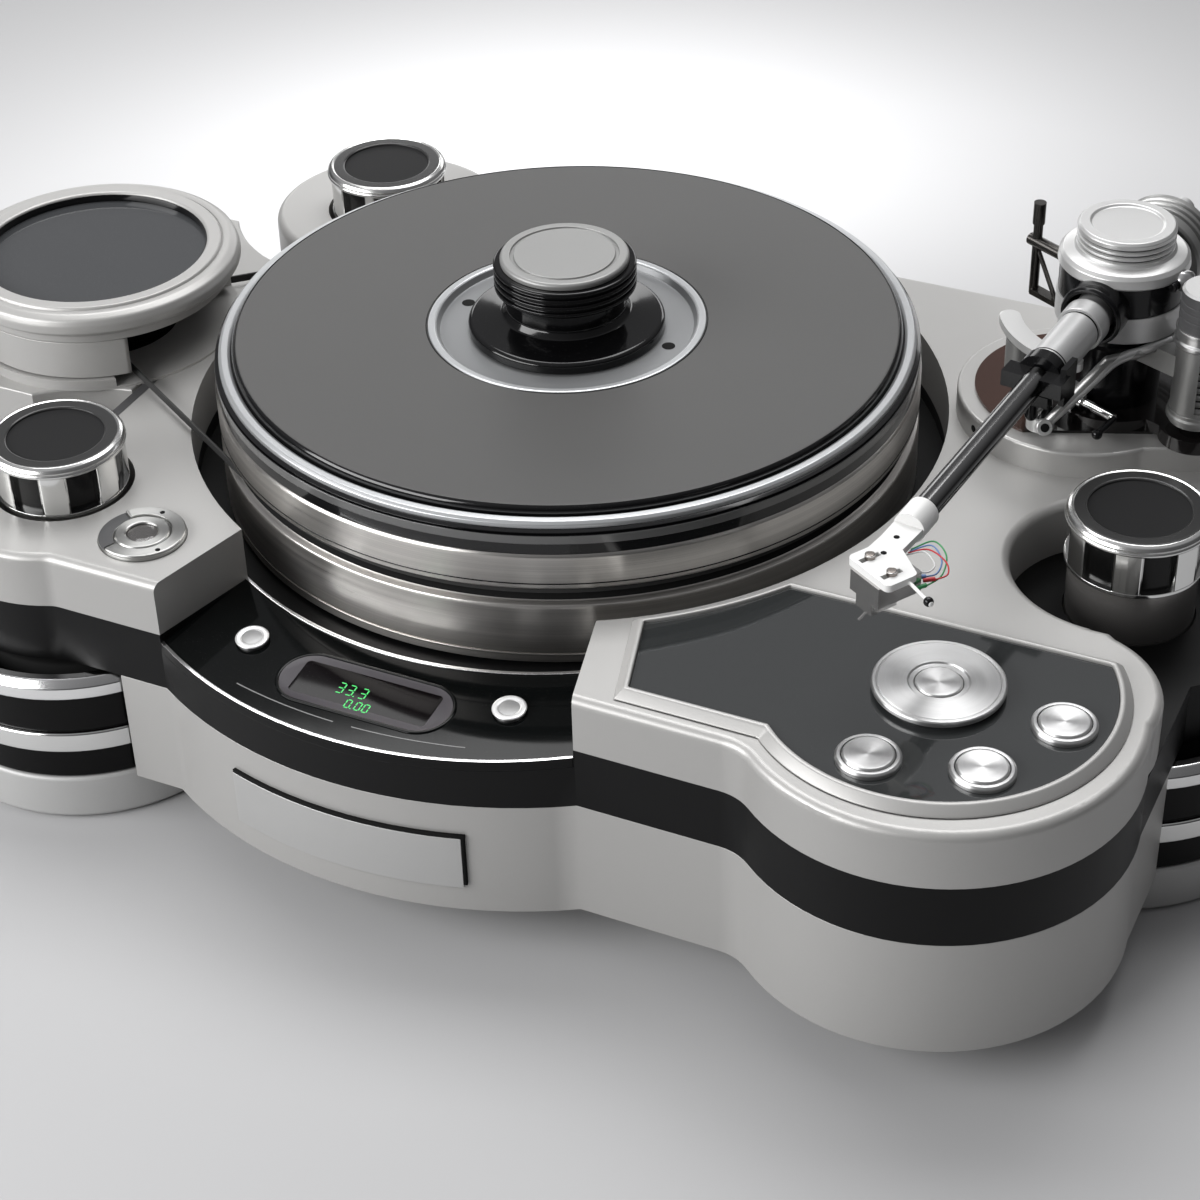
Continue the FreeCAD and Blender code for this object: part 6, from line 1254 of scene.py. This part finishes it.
class Tonearm(Maker):
    """The pivoted arm and everything round its hub."""

    pivot = (225.0, 73.0, 200.0)
    heading = math.radians(263.0)
    slope = math.radians(2.4)

    def line(self) -> Vector:
        """The arm's own direction."""
        level = math.cos(self.slope)
        return Vector((math.cos(self.heading) * level, math.sin(self.heading) * level, -math.sin(self.slope)))

    def along(self, distance: float) -> tuple[float, float, float]:
        """A point on the arm's line, in millimetres from the platter's axis."""
        point = Vector(self.pivot) + self.line() * distance
        return tuple(point)

    def arm_turn(self, name: str, profile: Profile, finish: Finish, start: float, body: str = "arm",
                 stands_for: Iterable[str] = (), **how: object) -> bpy.types.Object:
        """A turned piece on the arm's line, starting at a distance out from the pivot."""
        return self.turn(name, profile, finish, body, stands_for, centre=self.along(start),
                         axis=tuple(self.line()), segments=72, **how)

    def head(self, forward: float, side: float, z: float) -> tuple[float, float, float]:
        """A point of the turned headshell, from distances along and across it."""
        lean = math.radians(-24.5)
        along = forward * math.cos(lean) - side * math.sin(lean)
        across = forward * math.sin(lean) + side * math.cos(lean)
        c, w = math.cos(self.heading), math.sin(self.heading)
        return self.pivot[0] + along * c - across * w, self.pivot[1] + along * w + across * c, z

    def slotted(self, name: str, inner: float, outer: float, low: float, high: float, finish: Finish,
                stands_for: Iterable[str] = ()) -> None:
        """An upright ring about the hub's axis, open where the arm's boss and its rear stub pass.

        Args:
            name: the piece's name.
            inner: its bore's radius.
            outer: its radius.
            low: its lower face.
            high: its upper face.
            finish: its finish.
            stands_for: the nodes it replaces.
        """
        made = bmesh.new()
        x, y, _ = self.pivot
        layers = max(2, round((high - low) / 0.7))
        for index in range(layers):
            z0, z1 = (low + (high - low) * (index + k) / layers for k in (0, 1))
            middle = (z0 + z1) / 2
            boss = math.asin(min(1.0, math.sqrt(max(0.0, 13.3 ** 2 - (middle - 198.9) ** 2)) / outer))
            rear = math.asin(7.0 / outer) if 193 < middle < 209 else 0.0
            spans = [(self.heading + boss, self.heading + math.pi - rear),
                     (self.heading + math.pi + rear, self.heading + math.tau - boss)]
            for start, end in spans:
                rings = []
                for step in range(49):
                    angle = start + (end - start) * step / 48
                    rings.append([made.verts.new(place(x + r * math.cos(angle), y + r * math.sin(angle), z))
                                  for r, z in ((inner, z0), (outer, z0), (outer, z1), (inner, z1))])
                for first, second in zip(rings, rings[1:]):
                    for k in range(4):
                        made.faces.new([first[k], first[(k + 1) % 4], second[(k + 1) % 4], second[k]])
                made.faces.new(rings[0])
                made.faces.new(rings[-1])
        mesh = bpy.data.meshes.new(name)
        bmesh.ops.recalc_face_normals(made, faces=made.faces)
        made.to_mesh(mesh)
        made.free()
        mesh.shade_smooth()
        mesh.set_sharp_from_angle(angle=math.radians(35))
        self.shop.piece(name, mesh, finish, "arm_turn", stands_for)

    def build(self) -> None:
        """Make the base, the hub, the arm and everything on it."""
        self.base()
        self.adjuster()
        self.hub()
        self.wand()
        self.pickup()
        self.weight()

    def base(self) -> None:
        """The board, its inlay, the lever, the rest and the side frame."""
        keep = self.shop.keep
        keep("arm_board", BOARD_SILVER, 0.3)
        plate = keep("arm_base", INLAY_DARK, 0.25)
        zone(plate, ARM_SATIN, lambda p: p.z > 149 and (p.xy - Vector((214, 51))).length < 12)
        rest = keep("arm_rest", ARM_BLACK, 0.3)
        zone(rest, ARM_SATIN, lambda p: p.z < 152.9)
        keep("anti_skate", FRAME_GREY, 0.2)
        keep("cue_platform", ARM_SATIN, 0.4)
        lever = keep("cue_lever", CHROME, 0.1)
        zone(lever, ARM_BLACK, lambda p: p.y < 39.5)
        self.shop.piece("guard_rod", swept_tube("guard_rod", [
            (251.0, 64.5, 181.5), (246.0, 56.8, 181.5), (241.2, 49.6, 181.3), (236.6, 45.8, 180.4),
            (231.6, 42.6, 177.4), (225.6, 38.9, 170.0), (217.6, 33.6, 160.2), (209.5, 28.4, 150.6)], 2.2, 24, 6),
            SLEEVE, "arm_lift")
        self.turn("rod_end", [(0, -3.2), (3.3, -3.2), (3.6, -2.8), (3.6, 2.8), (3.3, 3.2), (0, 3.2)], ARM_SATIN,
                  "arm_lift", centre=(208.6, 27.4, 149.6), axis=(0.45, -0.75, 0.35), ease=0.3, segments=48)
        self.turn("rod_screw", [(0, 2.6), (1.9, 2.6), (1.9, 3.5), (0, 3.5)], BLACK_MARKS_AND_SHADE, "arm_lift",
                  centre=(208.6, 27.4, 149.6), axis=(0.45, -0.75, 0.35), ease=0.1, segments=32)
        angle = math.radians(229.0)
        self.turn("board_screw", [(0, -0.6), (1.7, -0.6), (1.7, 0.15), (0, 0.15)], BLACK_MARKS_AND_SHADE, "chassis",
                  centre=(211 + 53 * math.cos(angle), 75 + 53 * math.sin(angle), 136.0),
                  axis=(math.cos(angle), math.sin(angle), 0.0), ease=0.1, segments=32)

    def adjuster(self) -> None:
        """The height adjuster: dark grip with a pale top, silver rings and a scale beside its slot."""
        post = self.shop.keep("arm_post", PILLAR_GREY, 0.3)
        pillar = Vector((266.0, 56.0))
        zone(post, ARM_BLACK, lambda p: (p.xy - Vector(self.pivot[:2])).length < 27.5 and p.z < 184.2)
        zone(post, ARM_SATIN, lambda p: (p.xy - pillar).length < 13 and p.z > 211.9)
        zone(post, DARK_GREY_AND_SHADE, lambda p: (p.xy - pillar).length < 11.9 and 196 < p.z < 211.9)
        where = {"centre": (*pillar, 0.0), "segments": 96}
        self.turn("adjuster_ring", [(11.3, 188.6), (12.4, 188.6), (12.8, 189.2), (12.8, 191.0), (12.0, 191.6),
                                    (12.0, 194.6), (12.4, 195.0), (12.4, 196.4), (11.3, 196.4)], ARM_SILVER,
                  "arm_lift", ease=0.2, **where)
        self.turn("adjuster_foot_ring", [(11.3, 153.2), (12.4, 153.2), (12.6, 153.6), (12.6, 155.4),
                                         (12.0, 156.0), (12.0, 157.6), (11.3, 157.6)], PILLAR_GREY,
                  "arm_lift", ease=0.2, **where)
        for index in range(3):
            z = 199.6 + 3.4 * index
            self.turn(f"adjuster_grip_{index}", [(11.3, z), (11.75, z), (11.75, z + 2.2), (11.3, z + 2.2)],
                      DARK_GREY_AND_SHADE, "arm_lift", ease=0.15, **where)
        for index in range(7):
            angle, z = math.radians(284.0), 163.0 + 3.3 * index
            spot = (pillar.x + 11.5 * math.cos(angle), pillar.y + 11.5 * math.sin(angle), z)
            self.shop.piece(f"scale_tick_{index}", block(f"scale_tick_{index}", spot, (0.16, 2.6, 0.8), 284.0),
                            BLACK_MARKS_AND_SHADE, "arm_lift")

    def hub(self) -> None:
        """The turning hub: bright ring, black drum with the boss, grooved cap and a small bracket."""
        self.slotted("hub_ring", 21.0, 27.0, 184.4, 196.0, SLEEVE, ["hub_rings"])
        self.slotted("hub_drum", 21.0, 26.4, 196.0, 209.5, ARM_BLACK, ["arm_hub"])
        cap = [(0, 209.5), (27.0, 209.5), (27.6, 210.4), (27.1, 213.8), (25.6, 215.3), (24.0, 215.9),
               (21.3, 216.6), (20.5, 217.6)]
        for index in range(3):
            z = 218.0 + 2.5 * index
            cap += [(20.5, z), (19.3, z + 0.5), (19.3, z + 1.1), (20.5, z + 1.6)]
        cap += [(20.5, 226.4), (19.4, 227.5), (15.6, 227.5), (14.6, 226.6), (0, 226.6)]
        x, y, _ = self.pivot
        self.turn("hub_cap", cap, ARM_SATIN, "arm_turn", ["hub_rings"], centre=(x, y, 0.0), ease=0.25,
                  segments=144)
        # Painted shade: dark rings in the cap's grip grooves.
        for index in range(3):
            z = 218.5 + 2.5 * index
            self.turn(f"hub_groove_shade_{index}", [(18.9, z), (19.45, z), (19.45, z + 0.6), (18.9, z + 0.6)], DARK_GREY_AND_SHADE,
                      "arm_turn", centre=(x, y, 0.0), ease=0)
        self.arm_turn("hub_boss", [(11.0, 20.5), (13.4, 20.5), (13.4, 32.6), (12.6, 34.0), (11.6, 34.0),
                                   (11.0, 33.3)], ARM_BLACK, 0.0, "arm_turn", ["arm_hub"], ease=0.3)
        self.shop.piece("hub_bracket", block("hub_bracket", (251.4, 66.0, 209.2), (9.0, 7.0, 7.6), -15.0),
                        ARM_SILVER, "arm_turn")
        self.turn("bracket_screw", [(0, 0), (2.2, 0), (2.2, 3.0), (1.7, 3.5), (0, 3.5)], ARM_BLACK, "arm_turn",
                  centre=(250.2, 62.4, 208.4), axis=(-0.26, -0.966, 0.0), ease=0.2, segments=32)

    def wand(self) -> None:
        """The tilting arm: stub, sleeve with its ring, collar and the slim dark tube."""
        self.arm_turn("arm_sleeve_turned", [(0, -68.0), (4.6, -68.0), (5.0, -67.6), (5.0, -15.8), (8.7, -15.8),
                                            (8.7, 35.5), (9.6, 35.5), (10.0, 35.9), (10.0, 43.8), (9.7, 44.1),
                                            (8.6, 44.1), (8.6, 45.2), (8.7, 45.3), (8.7, 76.0), (7.7, 77.0),
                                            (0, 77.0)], SLEEVE, 0.0, "arm", ["arm_sleeve"], ease=0.2)
        self.arm_turn("sleeve_line", [(8.3, 44.2), (8.68, 44.2), (8.68, 45.1), (8.3, 45.1)], BLACK_MARKS_AND_SHADE, 0.0,
                      ease=0)
        self.arm_turn("sleeve_end_line", [(8.2, 74.6), (8.74, 74.6), (8.74, 75.3), (8.2, 75.3)], ARM_BLACK, 0.0,
                      ease=0)
        self.shop.keep("arm_collar", ARM_BLACK, 0.5)
        self.arm_turn("arm_tube_turned", [(0, 84.0), (5.0, 84.0), (5.0, 190.0), (0, 190.0)], TUBE_DARK, 0.0,
                      "arm", ["arm_tube"], ease=0.1)

    def pickup(self) -> None:
        """The headshell, its screws, painted shade for its holes, the cartridge and its four leads."""
        self.shop.keep("headshell", SHELL_WHITE, 0.5)
        self.shop.keep("cartridge", PICKUP_CHROME, 0.5)
        for side in (-1, 1):
            spot = self.head(204.6, 96.2 + side * 6.35, 0.0)
            self.turn(f"shell_screw_head_{side + 1}", [(0, 192.6), (2.05, 192.6), (2.05, 194.3), (1.6, 194.8),
                                                       (0, 194.8)], SCREW_HEAD, "arm", centre=spot, ease=0.2,
                      segments=32)
        # Painted shade: two black discs standing for the headshell's holes.
        for index, (x, y) in enumerate(((199.2, -132.3), (198.3, -143.7))):
            self.turn(f"shell_hole_shade_{index}", [(0, 192.6), (1.15, 192.6), (1.15, 193.08), (0, 193.08)],
                      BLACK_MARKS_AND_SHADE, "arm", centre=(x, y, 0.0), ease=0, segments=24)
        x, y, z = self.head(200.6, 107.2, 190.8)
        turn = math.radians(320.5)
        self.turn("finger_end", [(0, -1.9), (1.1, -1.7), (1.75, -0.8), (1.9, 0.0), (1.75, 0.8), (1.1, 1.7),
                                 (0, 1.9)], ARM_BLACK, "arm",
                  centre=(x + 14.2 * math.cos(turn), y + 14.2 * math.sin(turn), z),
                  axis=(math.cos(turn), math.sin(turn), 0.0), ease=0, segments=32)
        paths = {
            "red": [(205.0, -135.6, 189.6), (211.5, -131.5, 190.2), (219.0, -134.0, 188.6), (221.6, -138.0, 186.6),
                    (219.5, -141.2, 185.8), (215.0, -144.0, 185.6)],
            "green": [(205.6, -134.2, 190.4), (212.0, -127.4, 191.4), (218.4, -131.4, 189.4), (219.6, -138.6, 186.0),
                      (217.0, -144.4, 184.8), (213.6, -148.4, 184.6)],
            "blue": [(205.4, -135.0, 190.0), (211.8, -129.4, 190.8), (217.4, -133.6, 188.6), (217.8, -139.2, 186.4),
                     (214.8, -142.8, 186.4), (211.6, -144.8, 186.6)],
            "white": [(204.8, -136.4, 189.2), (210.4, -133.0, 189.8), (215.8, -136.8, 188.2), (215.2, -140.6, 187.2),
                      (212.0, -142.8, 187.4), (209.6, -143.8, 187.6)],
        }
        for name, points in paths.items():
            self.shop.piece(f"lead_{name}", swept_tube(f"lead_{name}", points, 0.32, 10), LEADS[name], "arm")
            end, before = Vector(points[-1]), Vector(points[-2])
            along = (end - before).normalized()
            self.turn(f"lead_end_{name}", [(0, 0), (0.85, 0), (0.85, 4.6), (0, 4.6)], LEADS[name], "arm",
                      centre=tuple(end - along * 3.6), axis=tuple(along), ease=0.2, segments=20)

    def weight(self) -> None:
        """The grooved weight behind the hub."""
        self.shop.keep("counterweight", PILLAR_GREY, 0.3)


@dataclass
class Studio:
    """The floor, the backdrop, the lamps and the camera."""

    camera_place: tuple[float, float, float] = (455.2, -908.9, 762.4)
    turn: float = 26.0
    pitch: float = 36.25
    roll: float = 1.76
    focal_pixels: float = 2677.4
    painted_light_reach: tuple[float, float] = (0.28, 0.22)
    painted_light_gain: float = 0.46
    floor_base: float = 0.455
    floor_fall: float = 0.05
    floor_bright_to: float = 0.60
    floor_far_fall: float = 0.42
    lamps: list[tuple[str, tuple[float, float, float], float, float, float]] = field(default_factory=lambda: [
        ("soft_top", (-0.25, 0.66, 1.82), 1.7, 1.0, 28.0),
        ("left_front", (-1.20, -1.50, 1.0), 2.0, 0.9, 50.0),
        ("rear_strip", (-0.6, 1.7, 0.6), 2.2, 0.5, 8.0),
    ])

    def build(self) -> None:
        """Make everything outside the object."""
        self.floor()
        self.world()
        for name, where, width, height, power in self.lamps:
            self.lamp(name, where, width, height, power)
        self.camera()

    def floor(self) -> None:
        """A pale floor with a painted pool of light behind the object and painted shade towards the front and the
        right.
        """
        made = bmesh.new()
        size = 30.0
        made.faces.new([made.verts.new((a * size, b * size, 0.0)) for a, b in ((-1, -1), (1, -1), (1, 1), (-1, 1))])
        mesh = bpy.data.meshes.new("studio_floor")
        made.to_mesh(mesh)
        made.free()
        floor = bpy.data.objects.new("studio_floor", mesh)
        bpy.context.scene.collection.objects.link(floor)
        material = bpy.data.materials.new("studio_floor")
        material.use_nodes = True
        shader = material.node_tree.nodes["Principled BSDF"]
        shader.inputs["Roughness"].default_value = 0.6
        shader.inputs["Specular IOR Level"].default_value = 0.2
        nodes = NodeBuilder(material.node_tree)
        nodes.join(self.floor_tone(nodes), shader.inputs["Base Color"])
        mesh.materials.append(material)

    def floor_tone(self, nodes: NodeBuilder) -> bpy.types.NodeSocket:
        """The floor's colour: a wide painted pool of light behind the object on a grey that falls to the right as
        painted shade.

        Args:
            nodes: the floor material's node helper.

        Returns:
            The colour.
        """
        spot = nodes.add("ShaderNodeTexCoord")
        turned = nodes.add("ShaderNodeMapping", vector_type="TEXTURE")
        turned.inputs["Location"].default_value = (-0.215, 0.44, 0.0)
        turned.inputs["Rotation"].default_value = (0.0, 0.0, math.radians(26.0))
        turned.inputs["Scale"].default_value = (*self.painted_light_reach, 1.0)
        nodes.join(spot.outputs["Object"], turned.inputs["Vector"])
        length = nodes.add("ShaderNodeVectorMath", operation="LENGTH")
        nodes.join(turned.outputs[0], length.inputs[0])
        square = nodes.math("MULTIPLY", length.outputs["Value"], length.outputs["Value"])
        # Painted light: a bright pool on the floor behind the object.
        pool = nodes.math("EXPONENT", nodes.math("MULTIPLY", square, -1.0))
        parts = nodes.add("ShaderNodeSeparateXYZ")
        nodes.join(spot.outputs["Object"], parts.inputs[0])
        # Painted shade: the grey falls towards the right and beyond the bright reach.
        fall = nodes.math("MULTIPLY", parts.outputs[0], self.floor_fall)
        reach = nodes.add("ShaderNodeVectorMath", operation="LENGTH")
        nodes.join(spot.outputs["Object"], reach.inputs[0])
        beyond = nodes.math("MAXIMUM", nodes.math("SUBTRACT", reach.outputs["Value"], self.floor_bright_to), 0.0)
        fall = nodes.math("ADD", fall, nodes.math("MULTIPLY", beyond, self.floor_far_fall))
        base = nodes.math("MAXIMUM", nodes.math("SUBTRACT", self.floor_base, fall), 0.2)
        level = nodes.math("MINIMUM", nodes.math("ADD", base, nodes.math("MULTIPLY", pool, self.painted_light_gain)), 0.95)
        colour = nodes.add("ShaderNodeCombineColor")
        for index, tint in enumerate((1.0, 1.0, 1.01)):
            nodes.join(nodes.math("MULTIPLY", level, tint), colour.inputs[index])
        return colour.outputs[0]

    def world(self) -> None:
        """A plain surround: white for the camera, and a dim horizon under a bright sky for the rest."""
        world = bpy.data.worlds.new("studio_world")
        bpy.context.scene.world = world
        world.use_nodes = True
        made = NodeBuilder(world.node_tree)
        world.node_tree.nodes.clear()
        spot = made.add("ShaderNodeTexCoord")
        parts = made.add("ShaderNodeSeparateXYZ")
        made.join(spot.outputs["Generated"], parts.inputs[0])
        ramp = made.add("ShaderNodeValToRGB")
        ramp.color_ramp.elements[0].position = 0.0
        ramp.color_ramp.elements[0].color = (0.035, 0.035, 0.036, 1.0)
        ramp.color_ramp.elements[1].position = 0.8
        ramp.color_ramp.elements[1].color = (0.44, 0.44, 0.45, 1.0)
        made.join(parts.outputs[2], ramp.inputs[0])
        right = made.math("SUBTRACT", made.math("MULTIPLY", parts.outputs[0], 0.85),
                          made.math("MULTIPLY", parts.outputs[1], 0.53))
        shade = made.math("SUBTRACT", 1.0, made.math("MULTIPLY", made.math("MAXIMUM", right, 0.0), 0.8))
        dimmed = made.blend(1.0, ramp.outputs[0], shade, "MULTIPLY")
        path = made.add("ShaderNodeLightPath")
        colour = made.blend(path.outputs["Is Camera Ray"], dimmed, (1.0, 1.0, 1.0, 1.0))
        background = made.add("ShaderNodeBackground", Strength=1.0)
        made.join(colour, background.inputs["Color"])
        outlet = made.add("ShaderNodeOutputWorld")
        made.join(background.outputs[0], outlet.inputs["Surface"])

    def lamp(self, name: str, where: tuple[float, float, float], width: float, height: float,
             power: float) -> None:
        """Hang one soft lamp that faces the object."""
        data = bpy.data.lights.new(name, "AREA")
        data.shape = "RECTANGLE"
        data.size, data.size_y, data.energy = width, height, power
        item = bpy.data.objects.new(name, data)
        item.location = where
        aim = Vector((0.0, 0.0, 0.1)) - Vector(where)
        item.rotation_mode = "QUATERNION"
        item.rotation_quaternion = aim.to_track_quat("-Z", "Y")
        bpy.context.scene.collection.objects.link(item)

    def camera(self) -> None:
        """Stand the camera where the photograph was taken from."""
        data = bpy.data.cameras.new("view")
        data.sensor_width = 36.0
        data.lens = self.focal_pixels / 1200 * 36.0
        data.clip_end = 50.0
        turn, pitch, roll = (math.radians(value) for value in (self.turn, self.pitch, self.roll))
        forward = Vector((-math.sin(turn) * math.cos(pitch), math.cos(turn) * math.cos(pitch), -math.sin(pitch)))
        right = Vector((math.cos(turn), math.sin(turn), 0.0))
        down = forward.cross(right)
        rolled_right = math.cos(roll) * right + math.sin(roll) * down
        rolled_down = math.cos(roll) * down - math.sin(roll) * right
        stand = Matrix((rolled_right, -rolled_down, -forward)).transposed().to_4x4()
        stand.translation = place(*self.camera_place)
        item = bpy.data.objects.new("view", data)
        item.matrix_world = stand
        bpy.context.scene.collection.objects.link(item)
        bpy.context.scene.camera = item


def main() -> None:
    """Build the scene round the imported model."""
    logging.basicConfig(level=logging.INFO, format="%(message)s")
    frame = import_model()
    bpy.context.scene.view_settings.view_transform = "Standard"
    shop = Workshop(frame)
    Studio().build()
    for maker in (Chassis, Towers, Platter, RecordClamp, Display, Controls, SpiritLevel, MotorUnit, Tonearm):
        log.info("building %s", maker.__name__)
        maker(shop).build()


if __name__ == "__main__":
    main()
